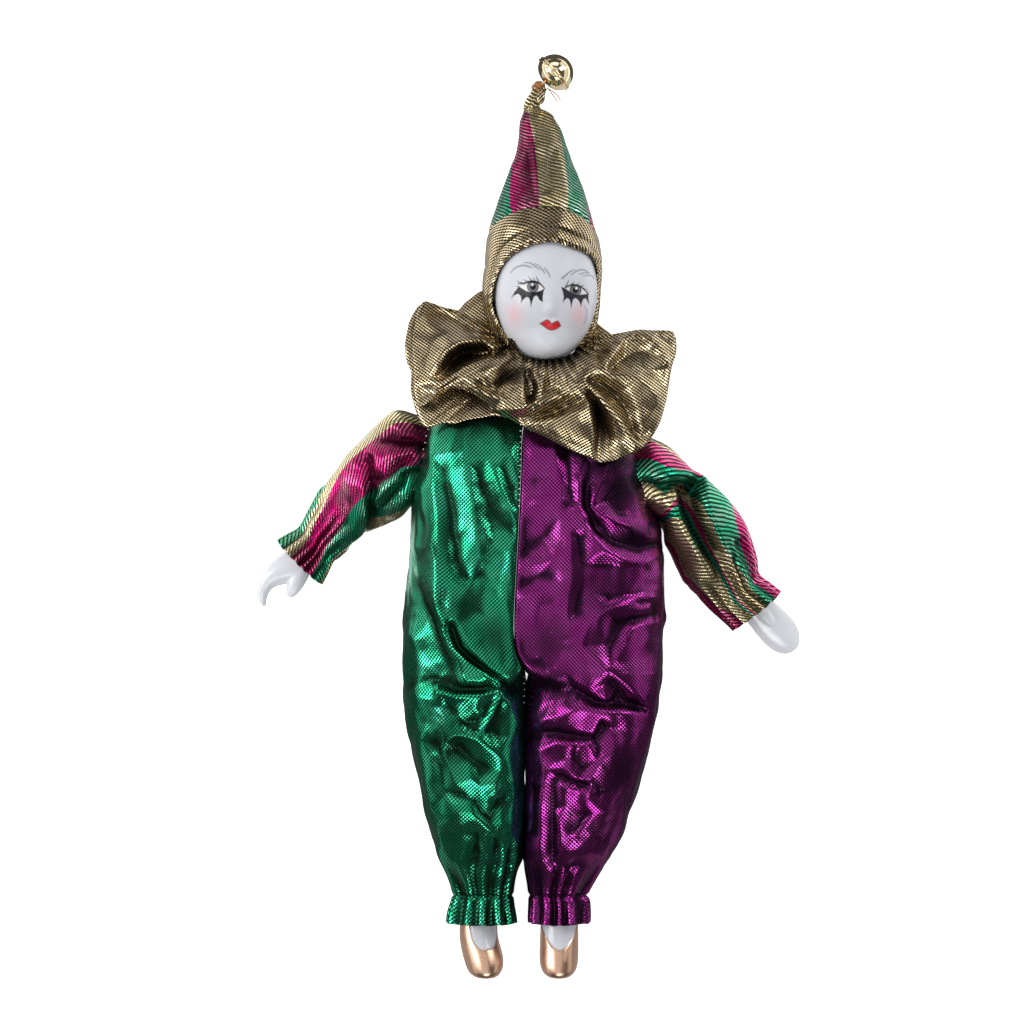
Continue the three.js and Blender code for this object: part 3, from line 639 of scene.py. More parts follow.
# %% Romper creases
SEAM_CREASE = [(-16, 239, 0), (-19, 90, 0), (-27, -72, 0), (-36, -244, 0), (-35, -355, 0), (-22, -417, 0),
               (-11, -504, 0), (-11, -666, 0), (-14, -828, 0), (-19, -952, 0), (-16, -1044, 0)]
GREEN_CREASES = in_mm(
    10,
    [(-359, 252, 0), (-359, -18, 0), (-359, -234, 0), (-367, -450, 0), (-346, -612, 0), (-305, -774, 0),
     (-265, -936, 0), (-238, -1030, 0)],
    [(-265, 306, 0), (-16, 306, 0)],
    [(-238, -1030, 0), (-16, -1044, 0)],
    [(-254, 171, 6), (-248, 63, 9), (-235, -72, 10), (-219, -180, 8), (-227, -247, 6)],
    [(-224, 117, -2), (-213, 36, -7), (-205, -45, -8), (-189, -126, -6), (-162, -171, -3)],
    [(-178, 198, 5), (-157, 117, 9), (-140, -45, 10), (-135, -112, 8), (-151, -171, 4)],
    [(-135, 117, 2), (-113, 50, -5), (-78, -9, -6), (-30, -55, -3)],
    [(-113, 171, 7), (-81, 90, 10), (-49, 23, 9), (-24, -34, 3)],
    [(-62, 117, 1), (-41, 36, -4), (-22, -4, -2)],
    [(-76, 220, 5), (-46, 158, 8), (-30, 90, 5)],
    [(-292, -4, 2), (-257, -58, 12), (-238, -131, 16), (-243, -228, 16), (-219, -331, 15), (-176, -428, 6)],
    [(-316, -153, -4), (-278, -250, -8), (-235, -355, -8), (-192, -450, -5)],
    [(-103, -126, 1), (-62, -85, 4), (-38, -126, 5), (-38, -171, 2)],
    [(-130, -166, -1), (-76, -180, 0), (-59, -234, 5), (-43, -274, 1)],
    [(-167, -207, 6), (-221, -266, 10)],
    [(-221, -269, 10), (-194, -293, 9), (-157, -369, 9), (-103, -417, 9), (-49, -452, 5)],
    [(-205, -309, -6), (-189, -363, -12), (-143, -404, -13), (-89, -439, -10), (-54, -471, -4)],
    [(-232, -288, 9), (-208, -355, 11), (-170, -396, 11), (-116, -428, 11), (-84, -458, 10),
     (-76, -482, 5)],
    [(-130, -261, -2), (-76, -315, 0)],
    [(-170, -450, 7), (-130, -455, 7)],
    [(-297, -417, -1), (-265, -444, -8), (-238, -463, -11), (-197, -477, -12), (-143, -479, -12),
     (-97, -474, -5)],
    [(-243, -477, 6), (-197, -490, 9), (-135, -490, 9), (-86, -482, 5)],
    [(-230, -495, 3), (-205, -536, -5), (-157, -576, -7), (-143, -563, -6)],
    [(-167, -504, 4), (-135, -536, 6)],
    [(-76, -495, 9), (-97, -544, 9), (-130, -593, 7)],
    [(-95, -504, -2), (-119, -558, -4), (-140, -590, -2)],
    [(-73, -509, -4), (-92, -558, -5), (-111, -585, -4)],
    [(-59, -509, 6), (-32, -536, 4), (-38, -625, 3), (-62, -666, 9), (-130, -606, 8)],
    [(-211, -593, 8), (-146, -598, 9), (-103, -639, 9), (-62, -666, 9)],
    [(-211, -593, 8), (-230, -633, 9), (-216, -679, 8), (-189, -733, 7)],
    [(-184, -639, -8), (-130, -687, -8)],
    [(-178, -671, -2), (-157, -706, 6), (-116, -747, 2)],
    [(-143, -774, -2), (-89, -760, 7), (-76, -693, 5)],
    [(-43, -720, 4), (-62, -774, -2)],
    [(-146, -801, 8), (-116, -844, 8), (-86, -855, 5)],
    [(-130, -806, -3), (-103, -828, -3)],
    [(-297, -612, 5), (-265, -747, 9), (-235, -855, 9), (-205, -963, 7)],
    [(-319, -625, -3), (-286, -774, -3), (-257, -882, -2)],
    [(-305, -342, 5), (-278, -409, -2)],
    [(-259, -504, 5), (-278, -558, 1)],
    [(-238, -571, 7), (-219, -552, 5)],
    [(-243, -625, -2), (-224, -747, 1)],
    [(-135, -868, -2), (-138, -936, -8), (-140, -1003, -8)],
    [(-119, -855, 4), (-111, -936, 7), (-111, -1003, 5)],
    [(-86, -876, -2), (-84, -963, -6)],
    [(-68, -882, 3), (-62, -963, 6)],
    [(-41, -868, -4), (-51, -949, -7)],
    [(-32, -895, 3), (-35, -963, 6)],
    [(-184, -909, 3), (-178, -990, 6)],
    [(-162, -909, -1), (-162, -990, -5)],
    SEAM_CREASE)
PURPLE_CREASES = in_mm(
    10,
    [(316, 306, 0), (389, 198, 0), (405, -72, 0), (405, -342, 0), (394, -504, 0), (367, -666, 0),
     (329, -774, 0), (286, -909, 0), (227, -1030, 0)],
    [(-16, 306, 0), (316, 306, 0)],
    [(-16, -1044, 0), (227, -1030, 0)],
    [(149, 158, 7), (138, 90, 11), (140, 23, 13), (167, -47, 13), (208, -99, 13), (254, -126, 11),
     (308, -131, 8), (351, -104, 3)],
    [(167, 131, -3), (157, 63, -9), (162, 15, -11), (189, -42, -11), (235, -74, -11), (302, -93, -10),
     (354, -80, -4)],
    [(213, 144, 8), (194, 85, 9), (173, 36, 9), (162, 1, 4)],
    [(167, -7, 5), (205, -9, 8), (262, -34, 9), (316, -63, 6), (351, -72, 1)],
    [(205, 36, -4), (248, 4, -3), (302, -12, -2)],
    [(235, 90, 2), (281, 63, 2)],
    [(11, 171, 6), (19, 90, -1), (32, 36, 8)],
    [(73, 171, 9), (81, 90, 7), (92, 36, 9), (86, -72, 9)],
    [(108, 158, -2), (113, 90, -4), (122, 36, 2)],
    [(116, -45, 11), (119, -180, 11), (105, -274, 10), (122, -333, 10)],
    [(143, -72, 3), (149, -180, 2), (135, -261, 2)],
    [(-24, -115, -4), (11, -85, -6), (49, -55, -2)],
    [(-24, -142, 4), (32, -131, 6), (86, -115, 8)],
    [(-27, -198, -3), (5, -182, -5), (41, -163, -2)],
    [(-30, -228, 5), (46, -212, 8), (92, -180, 9)],
    [(19, -261, 5), (59, -234, 4)],
    [(227, -139, 1), (329, -153, 3), (329, -212, 2), (221, -228, -1)],
    [(194, -247, 5), (302, -225, 7), (362, -234, 3)],
    [(302, -244, -1), (356, -242, -1)],
    [(122, -333, 12), (167, -382, 15), (227, -436, 16), (289, -490, 16), (324, -536, 10)],
    [(167, -288, 11), (235, -255, 11), (316, -252, 8)],
    [(221, -347, -1), (246, -304, -5), (289, -288, -4), (335, -274, -2)],
    [(259, -342, 9), (275, -309, 9), (329, -293, 6)],
    [(5, -301, 3), (46, -342, 0), (32, -396, -7)],
    [(54, -414, -2), (113, -439, 3), (167, -477, 5), (213, -509, 3)],
    [(127, -477, -7), (181, -512, -10), (248, -509, -10), (302, -520, -4)],
    [(227, -455, 4), (270, -495, 2)],
    [(59, -428, 2), (46, -477, -3), (73, -517, -4)],
    [(41, -560, 5), (92, -547, 6), (140, -522, 11), (208, -533, 12), (176, -593, 5), (127, -582, 3),
     (86, -563, 3)],
    [(46, -590, -8), (113, -603, -9), (181, -612, -8), (194, -571, -6)],
    [(213, -533, 12), (275, -536, 12), (327, -549, 11), (275, -606, 12), (227, -639, 11), (194, -668, 10)],
    [(189, -633, -1), (200, -585, -3)],
    [(248, -563, 7), (235, -598, 4)],
    [(41, -639, 6), (81, -614, 9), (124, -622, 9), (113, -657, 2), (65, -676, 4)],
    [(135, -622, 2), (162, -614, 8), (186, -663, 7)],
    [(151, -684, -2), (127, -657, -3)],
    [(95, -687, 7), (127, -711, 9), (167, -722, 7), (192, -676, 10)],
    [(92, -709, -6), (127, -733, -7), (162, -741, -5)],
    [(89, -730, 4), (167, -747, 8), (149, -779, 6), (122, -814, -1), (95, -774, 0)],
    [(81, -822, 4), (86, -860, 5), (127, -876, 4), (186, -790, 9), (208, -806, 10), (167, -868, 8),
     (119, -914, 8), (84, -895, 6)],
    [(154, -814, -2), (132, -849, -3)],
    [(54, -693, 7), (41, -747, 8), (35, -828, 7), (35, -936, 5)],
    [(14, -747, -5), (8, -855, -5)],
    [(70, -733, -5), (68, -828, -7), (68, -936, -6)],
    [(221, -693, 5), (302, -693, 6)],
    [(248, -747, 2), (194, -747, -2)],
    [(227, -828, 1), (194, -909, 3)],
    [(262, -855, 4), (235, -909, 3)],
    [(119, -930, 5), (167, -909, 7), (194, -922, 4)],
    [(127, -957, -4), (167, -952, -2)],
    [(86, -941, 6), (73, -1003, 6)],
    [(103, -963, -5), (92, -1011, -5)],
    [(119, -968, 5), (113, -1011, 5)],
    [(140, -963, -4), (130, -1011, -5)],
    SEAM_CREASE)
print(len(GREEN_CREASES), "green and", len(PURPLE_CREASES), "violet creases")

# %% [markdown]
# Each half is stuffed like a pillow, so a smooth tube stands for the stuffing: round on the body's outer
# side, nearly square at the seam. The named creases, small random crumples and the cuff's gathers then push
# its points out or in. Sculpting by hand would give the same folds, but not at measured places.

# %% Romper
SEAM = [(-111, -1.3), (-103, -1.8), (-95, -1.5), (-67, -0.7), (-50, -0.4), (-42, -0.7), (-36.9, -3),
        (-30, -3.8), (-7.2, -2.7), (10.4, -1.9), (22.5, -1.4), (37, 1.5)]
ROMPER_TOP = [(-111, 16.5), (-103, 15.2), (-95, 19), (-80, 26), (-60, 30.5), (-40, 33), (-10, 33.6),
              (12, 32.5), (25, 29.5), (32, 27), (37, 22)]
ROMPER_UNDER = [(-111, 0.3), (-103, 0.8), (-95, -0.5), (-85, -2), (25, -2), (31, 1), (37, 7)]
GREEN_OUTER = [(-111, -22.2), (-107.6, -21.9), (-103, -20.9), (-98, -22.1), (-91.4, -24.8),
               (-75.2, -28.6), (-62.2, -31.3), (-49.3, -33.5), (-35, -33.6), (-23.4, -33.2),
               (-13.6, -32.1), (-4.5, -30.6), (2.6, -30.9), (11.7, -29.8), (20.4, -27.8),
               (25.5, -25.5), (31.7, -17), (37, -5.5)]
GREEN_INNER = [(-111, -2.6), (-103, -3.4), (-97, -2.6), (-93, -1.5), (-88, -0.5), (-50, -0.2), (-43, -1.2)]
PURPLE_OUTER = [(-111, 16.5), (-105, 16.9), (-103, 16.4), (-98, 19), (-88.2, 24.6), (-72, 30),
                (-52.5, 34.6), (-31.5, 36.5), (-12.6, 36.3), (-4.5, 35.7), (0.9, 33.2), (6.9, 31.2),
                (14.4, 29.8), (20.9, 28.6), (25.2, 25.6), (31, 18.5), (37, 11.5)]
PURPLE_INNER = [(-111, 0.3), (-103, -0.1), (-97, -0.8), (-93, -1.3), (-88, -2), (-50, -1), (-43, 0.1)]
SHOULDER, CROTCH, ELASTIC, HEM = 37, -42.3, -103.0, -110.4
BODY_ROWS, CUFF_ROWS, ROMPER_POINTS = 288, 22, 236
BODY_POWER, LEG_POWER, SEAM_POWER = 2.35, 2.6, 60  # the higher, the squarer the outline
STRAIGHT_GRAIN = 16  # how far from the middle the weave runs straight down the front
ROMPER_FOLD = 1.4  # height in mm of a crease noted as 1
CUFF_PLEATS, CUFF_DEPTH, ELASTIC_DEPTH = 12, 0.9, 0.5


def pleats(angle, count, seed):
    """Uneven gathers round a cuff, from -1 in a valley to 1 on a ridge."""
    chance = np.random.default_rng(seed)
    phase = sum(chance.uniform(0.15, 0.5) * np.sin(k * angle + chance.uniform(0, 6.3)) for k in (1, 2, 3, 5))
    wave = np.cos(count * angle + 1.6 * phase)
    size = 1 + 0.35 * np.sin(4 * angle + chance.uniform(0, 6.3))
    return spow(wave, 0.75) * size


def from_below(count):
    """Angles once round a tube, from its underside."""
    return np.linspace(-math.pi / 2, 1.5 * math.pi, count, endpoint=False)


def romper_half(name, node, side, outer, inner, creases, spots, material, seed):
    y = np.concatenate([np.linspace(SHOULDER, ELASTIC, BODY_ROWS), np.linspace(ELASTIC, HEM, CUFF_ROWS)[1:]])
    count = ROMPER_POINTS
    seam = through(SEAM, y) + side * 0.06
    legness = 1 - smooth(y, -47, -36)
    inside = np.where(y < CROTCH, through(inner, y), seam)
    outside = through(outer, y)
    middle, half = (inside + outside) / 2, np.abs(outside - inside) / 2 - 0.7 * smooth(-y, 90, 101)
    top, under = through(ROMPER_TOP, y), through(ROMPER_UNDER, y)
    angle = from_below(720)
    c, s = np.cos(angle), np.sin(angle)
    rings, spans, starts = [], [], []
    for k in range(len(y)):
        power = np.where(c > 0, BODY_POWER, SEAM_POWER * (LEG_POWER / SEAM_POWER) ** legness[k])
        x = middle[k] + side * half[k] * spow(c, 2 / power)
        x = np.maximum(x, seam[k]) if side > 0 else np.minimum(x, seam[k])
        crown = 1 - 0.1 * smooth(c, -0.2, 1) * (1 - legness[k])
        height = (top[k] - under[k]) / 2 * spow(s, 2 / power)
        z = (top[k] + under[k]) / 2 + np.where(s > 0, height * crown, height)
        ring, length = even_ring(np.stack([x, np.full_like(x, y[k]), np.maximum(z, 0.15)], 1), count)
        half_way = slice(count // 4, 3 * count // 4)
        crossing = np.argmin(np.abs(ring[half_way, 0] - side * STRAIGHT_GRAIN)) + count // 4
        rings.append(ring)
        spans.append(length)
        starts.append(crossing + (side * STRAIGHT_GRAIN - ring[crossing, 0]) * count / length * side)
    points = np.array(rings)
    normal = normals_of(points)

    share = (np.arange(count + 1)[None] - blurred_line(np.array(starts), 6)[:, None]) / count
    uv = np.zeros((len(y), count + 1, 2))
    uv[..., 0] = share * np.array(spans)[:, None]
    uv[..., 1] = y[:, None]
    u, v = uv[:, :-1, 0], uv[:, :-1, 1]
    front = smooth(normal[..., 2], 0.05, 0.5)
    loose = smooth(points[..., 2], 0.3, 3.0)
    named = crease_net(creases).at(*np.moveaxis(seen(points), -1, 0))
    coarse = crumple(seed, (150, 260), 8.0, 0.42).at(u, v)
    fine = crumple(seed + 1, (150, 260), 3.2, 0.1, 0.25).at(u, v)
    streaks = crumple(seed + 3, (150, 110), 3.0, 0.17, 0.25).at(u, v * 0.4)
    gathered = smooth(-y, 88, 101)[:, None]
    round_cuff = np.arctan2(points[..., 2] - points[..., 2].mean(1, keepdims=True),
                            side * (points[..., 0] - points[..., 0].mean(1, keepdims=True)))
    wave = pleats(round_cuff, CUFF_PLEATS, seed + 2) * (0.55 + 0.45 * smooth(-y, 103, 110)[:, None])
    free = (1 - gathered) * (1 - smooth(y, 22, 28))[:, None]
    above_crotch = y[:, None] > CROTCH
    from_seam = points[..., 0] - seam[:, None]
    seamed = np.where(above_crotch, smooth(np.abs(from_seam), 0.0, 2.0), 1)
    push = ROMPER_FOLD * named * front + coarse * (1 - 0.7 * front) + fine + streaks
    push = push * loose * free * seamed
    # Painted shade: the foil is darkened where the cloth lies below its blurred self, in the creases, then
    # also in the cuff's pleat valleys and the listed soft spots; a dark line is laid along the seam above
    # the crotch.
    painted_shade_and_seam = 0.8 * smooth(blurred(push, 4) - push, 0.05, 0.45)
    push = push + wave * gathered * CUFF_DEPTH * smooth(points[..., 2], 0.1, 1.5)
    push = push - ELASTIC_DEPTH * np.exp(-((y[:, None] - ELASTIC) / 0.5) ** 2)
    for darker in (0.75 * gathered * smooth(-wave, -0.5, 0.7), painted_shade_spots(points, spots),
                   0.9 * np.exp(-(from_seam / 0.5) ** 2) * above_crotch):
        painted_shade_and_seam = np.maximum(painted_shade_and_seam, darker)
    points = pushed(points, normal, push)
    points, uv, painted_shade_and_seam = hollow_frill(points, uv, painted_shade_and_seam, y <= ELASTIC)
    piece = tube(name, points, uv, material, painted_shade_and_seam)
    dress(piece, node)


romper_half("romper_green", "romper_green_half", -1, GREEN_OUTER, GREEN_INNER,
            GREEN_CREASES, GREEN_PAINTED_SHADE, GREEN_LAME, 11)
romper_half("romper_purple", "romper_purple_half", 1, PURPLE_OUTER, PURPLE_INNER,
            PURPLE_CREASES, PURPLE_PAINTED_SHADE, PURPLE_LAME, 23)

# %% [markdown]
# The sleeves and the hat are one ribbed cloth, woven in bands of green, pink and pale gold, 8 mm wide.
# Its fine ribs cross the bands at a slant. One node group gives the band's colour, the rib's foil and
# its height, and the three materials differ only in slant and pitch.

# %% Ribbed, banded cloth
BAND = 8.0
BANDS = ((0.012, 0.42, 0.22), (0.66, 0.012, 0.19), (0.84, 0.7, 0.38))
BAND_EDGES = (24, 16, 8, 0, -8, -16, -24, -32, -40, -48, -56)  # where one band ends and the next starts
BLACK, PALE_FOIL = (0.0, 0.0, 0.0, 1), (0.9, 0.85, 0.8, 1)


def make_ribbed():
    group, given, out = node_group(
        "ribbed_bands", [("Cloth", "Vector", None), ("Pitch", "Float", 0.001), ("Across", "Float", 0.5),
                         ("Along", "Float", 0.86), ("Bare", "Float", 0.0)],
        [("Colour", "Color"), ("Foil", "Float"), ("Height", "Float")])
    w = Wiring(group)
    u, v, _ = w.split(given["Cloth"])
    place = w.math("FRACT", w.math("DIVIDE", u, 3 * BAND * MM))
    first = w.math("LESS_THAN", place, 1 / 3)
    last = w.math("GREATER_THAN", place, 2 / 3)
    colour = w.mix(last, w.mix(first, (*BANDS[1], 1), (*BANDS[0], 1)), (*BANDS[2], 1))
    slant = w.math("ADD", w.math("MULTIPLY", u, given["Across"]), w.math("MULTIPLY", v, given["Along"]))
    wander = w.math("MULTIPLY", w.noise(given["Cloth"], 260.0, 2.0), 0.5)
    turns = w.math("ADD", w.math("DIVIDE", slant, given["Pitch"]), wander)
    rib = w.math("SINE", w.math("MULTIPLY", turns, 2 * math.pi))
    thread = w.math("SINE", w.math("MULTIPLY", w.math("DIVIDE", u, 0.4 * MM), 2 * math.pi))
    rib = w.math("ADD", rib, w.math("MULTIPLY", thread, 0.25))
    w.fill(out, Colour=colour, Foil=w.ramp(w.math("SUBTRACT", rib, given["Bare"]), -0.7, 0.1),
           Height=w.ramp(rib, -1.0, 1.0))
    return group


RIBBED = make_ribbed()


def banded(name, pitch, slant, bare, wear):
    """bare says how wide the dark gaps between the ribs are, and wear how pale the foil has become."""
    material, shader = principled(name, Specular_IOR_Level=0.12)
    w = Wiring(material.node_tree)
    uv = w.cloth_map()
    ribbed = w.effect(RIBBED, Cloth=uv, Pitch=pitch * MM, Bare=bare, Across=math.sin(math.radians(slant)),
                      Along=math.cos(math.radians(slant)))
    colour, mask = ribbed["Colour"], ribbed["Foil"]
    shine = w.mix(w.ramp(w.noise(uv, 180.0, 3.0), 0.35, 0.8, 0.0, wear), colour, PALE_FOIL)
    w.fill(shader, Base_Color=w.mix(w.lit(mask), w.mix(0.93, colour, BLACK), shine),
           Metallic=w.ramp(mask, 0.0, 1.0, 0.5, 1.0), Roughness=w.ramp(mask, 0.0, 1.0, 0.45, 0.22),
           Normal=w.bump(ribbed["Height"], 0.45, 0.0002))
    return material


HAT_CLOTH = banded("hat_cloth", 0.9, 20, 0.62, 0.45)
print("ribbed cloth in", len(BANDS), "colours,", BAND, "mm each")

# %% [markdown]
# Each sleeve is a tube between its measured upper and lower edge, flat underneath where it lies on
# the ground, creased like the romper and gathered at the wrist.

# %% Sleeve outlines and creases
RIGHT_UPPER, RIGHT_LOWER = in_mm(
    10,
    [(-221, 244), (-292, 263), (-346, 277), (-373, 269), (-413, 234), (-454, 190), (-489, 155),
     (-521, 112), (-556, 72), (-581, 36), (-602, 1), (-624, -36), (-651, -55), (-680, -74)],
    [(-243, 36), (-308, 26), (-346, -9), (-373, -23), (-413, -39), (-448, -55), (-467, -77), (-486, -104),
     (-500, -115), (-510, -123), (-516, -126), (-524, -131), (-540, -161), (-559, -193)])
LEFT_UPPER, LEFT_LOWER = in_mm(
    10,
    [(248, 177), (319, 207), (351, 196), (383, 177), (419, 144), (446, 112), (472, 96), (505, 72),
     (537, 42), (564, 9), (591, -31), (621, -112), (629, -161), (659, -188), (686, -212)],
    [(281, 20), (329, 4), (359, -45), (365, -80), (375, -99), (389, -123), (400, -147), (416, -180),
     (435, -201), (454, -223), (470, -242), (491, -263), (510, -279), (532, -298), (554, -317)])
RIGHT_SLEEVE_CREASES = in_mm(
    10,
    [(-238, 320, 0), (-373, 320, 0), (-508, 185, 0), (-643, 9, 0), (-718, -72, 0)],
    [(-718, -72, 0), (-562, -228, 0)],
    [(-562, -228, 0), (-494, -166, 0), (-413, -72, 0), (-319, -45, 0), (-238, 36, 0)],
    [(-238, 320, 0), (-238, 36, 0)],
    [(-437, 117, 4), (-437, 50, 10), (-435, -18, 13), (-459, -58, 8)],
    [(-424, 144, -6), (-421, 63, -12), (-424, -18, -12), (-435, -47, -7)],
    [(-410, 198, 4), (-408, 158, 8), (-410, 117, 3)],
    [(-374, 206, -9), (-340, 204, -17), (-265, 204, -18)],
    [(-335, 106, -5), (-275, 115, -12)],
    [(-373, 239, 7), (-346, 252, 6)],
    [(-332, 225, -1), (-292, 231, 2)],
    [(-405, 117, 7), (-359, 158, 9), (-305, 171, 6)],
    [(-386, 96, -3), (-346, 131, -6), (-292, 158, -3)],
    [(-413, 36, 6), (-378, 77, 9), (-340, 117, 9), (-297, 144, 3)],
    [(-400, 9, -4), (-346, 63, -6), (-313, 104, -4)],
    [(-351, -4, 6), (-335, 50, 10), (-324, 69, 5)],
    [(-481, 23, -2), (-494, -31, -6), (-513, -72, -4)],
    [(-535, 50, 5), (-494, 90, 8), (-459, 139, 9), (-437, 171, 6)],
    [(-467, 36, 3), (-475, -18, 4), (-494, -72, 3)],
    [(-583, -18, 5), (-548, 4, 3)],
    [(-562, -58, -4), (-529, -39, -3)])
LEFT_SLEEVE_CREASES = in_mm(
    10,
    [(275, 239, 0), (356, 239, 0), (464, 144, 0), (599, 36, 0), (659, -126, 0), (721, -207, 0)],
    [(721, -207, 0), (559, -355, 0)],
    [(559, -355, 0), (437, -247, 0), (356, -153, 0), (302, -18, 0), (275, 9, 0)],
    [(275, 239, 0), (275, 9, 0)],
    [(302, 107, 6), (383, 99, 10), (464, 99, 12)],
    [(316, 80, -5), (383, 72, -9), (437, 80, -10)],
    [(335, 36, 5), (378, 23, 6)],
    [(426, 74, -20), (430, 23, -23), (452, -45, -20), (493, -120, -15), (534, -190, -10), (572, -247, -5)],
    [(454, 72, -20), (458, 23, -22), (474, -36, -18), (504, -96, -13)],
    [(394, 47, 7), (410, -18, 10), (456, -99, 11), (497, -161, 11), (532, -220, 7)],
    [(472, 69, 11), (483, 9, 12), (508, -58, 11), (543, -126, 10), (589, -207, 6)],
    [(559, -85, -5), (578, -126, -9), (605, -166, -6)],
    [(594, -45, 6), (613, -126, 6)],
    [(540, -45, 7), (559, -99, 5)],
    [(370, -58, -2), (397, -112, -5), (437, -180, -5), (478, -228, -3)],
    [(378, -126, 5), (416, -193, 5)],
    [(437, -126, 2), (464, -180, 6)],
    [(343, 171, 3), (397, 131, 3)])
print(len(RIGHT_SLEEVE_CREASES), "creases on the right sleeve,", len(LEFT_SLEEVE_CREASES), "on the left")

# %% [markdown]
# The rings of a sleeve stand square to the arm's middle line. The bands of its cloth are drawn together in
# the folds, so the table of each sleeve says where their edges appear, and the UV map follows it.

# %% Sleeves
FRILL_START = 0.86  # share of the arm's length where the elastic sits
ARM_ROWS, FRILL_ROWS, SLEEVE_POINTS = 118, 24, 150
SLEEVE_POWER = 0.92
SLEEVE_FOLD = 1.7  # height in mm of a crease noted as 1
SLEEVE_PLEATS, PLEAT_DEPTH = 14, 0.75
GIRTH, RIB_GIRTH = 64.0, 56  # mm round the sleeve, for its crumples and for the slant of its ribs


def sleeve(name, node, upper, lower, tops, bands, pitch, slant, creases, spots, seed):
    """Points of cloth from armhole to frill. Each row of bands gives a place along the arm and, for each
    of the BAND_EDGES, how far across the sleeve it appears there: 0 at its upper outline, 1 at its lower,
    less or more out of sight. The ribs keep their pitch and slant however the bands are drawn together."""
    t = np.concatenate([np.linspace(0, FRILL_START, ARM_ROWS), np.linspace(FRILL_START, 1, FRILL_ROWS)[1:]])
    high, low = curve(upper, t), curve(lower, t)
    middle, arm = (high + low) / 2, (high - low) / 2
    half = np.linalg.norm(arm, axis=1)
    arm /= half[:, None]
    top = through(tops, t)
    angle = from_below(480)
    c, s = spow(np.cos(angle), SLEEVE_POWER), spow(np.sin(angle), SLEEVE_POWER)
    gathered = smooth(t, 0.6, 0.8)
    rings = []
    for k in range(len(t)):
        flat = middle[k] + arm[k] * (half[k] - 0.7 * gathered[k]) * c[:, None]
        z = top[k] / 2 + top[k] / 2 * s
        rings.append(even_ring(np.column_stack([flat, np.maximum(z, 0.15)]), SLEEVE_POINTS)[0])
    points = np.array(rings)
    normal = normals_of(points)
    across = ((points[..., :2] - middle[:, None]) * arm[:, None]).sum(-1)
    turn = np.arctan2(points[..., 2] - top[:, None] / 2, across)
    share = (np.arange(SLEEVE_POINTS) + 0.5) / SLEEVE_POINTS - 0.25
    wave = pleats(turn, SLEEVE_PLEATS, seed + 2) * (0.6 + 0.4 * smooth(t, FRILL_START, 1)[:, None])
    front = smooth(normal[..., 2], 0.05, 0.5)
    loose = smooth(points[..., 2], 0.3, 3.0)
    along = lengths(middle)
    on_cloth = np.broadcast_arrays(share[None] * GIRTH - 16, along[:, None] - 40)
    random = crumple(seed, (90, 120), 6.0, 0.3).at(*on_cloth)
    fine = crumple(seed + 1, (90, 120), 2.8, 0.06, 0.25).at(*on_cloth)
    named = crease_net(creases).at(*np.moveaxis(seen(points), -1, 0))
    push = SLEEVE_FOLD * named * front + random * (1 - 0.4 * front) + fine
    push = push * loose * (1 - 0.8 * gathered[:, None])
    push += wave * (gathered * PLEAT_DEPTH)[:, None] * smooth(points[..., 2], 0.1, 1.5)
    points = pushed(points, normal, push)

    # Painted shade: the foil is darkened in the valleys of the named creases, where the cloth lies below its
    # blurred self, and in the listed soft spots.
    painted_shade_and_seam = 0.92 * smooth(-named * front, 0.3, 1.1)
    for darker in (0.8 * smooth(blurred(push, 3) - push, 0.08, 0.5), painted_shade_spots(points, spots)):
        painted_shade_and_seam = np.maximum(painted_shade_and_seam, darker)
    bands = np.array(bands)
    inside = np.clip(bands[:, 1:], 0, 1)
    bands[:, 1:] = np.arccos(1 - 2 * inside) / (2 * math.pi) + (bands[:, 1:] - inside) / 2
    turned = np.stack([through(list(zip(bands[:, 0], edge)), t) for edge in bands[:, 1:].T], 1)
    edges = np.arange(SLEEVE_POINTS + 1) / SLEEVE_POINTS - 0.25
    uv = np.zeros((len(t), SLEEVE_POINTS + 1, 2))
    uv[..., 0] = [np.interp(edges, row, BAND_EDGES) for row in turned]
    uv[..., 1] = along[:, None] - (edges * RIB_GIRTH + uv[..., 0]) * math.tan(math.radians(slant))
    points, uv, painted_shade_and_seam = hollow_frill(points, uv, painted_shade_and_seam, t >= FRILL_START)
    piece = tube(name, points, uv, banded(name + "_cloth", pitch, slant, 0.3, 0.3), painted_shade_and_seam)
    dress(piece, node)


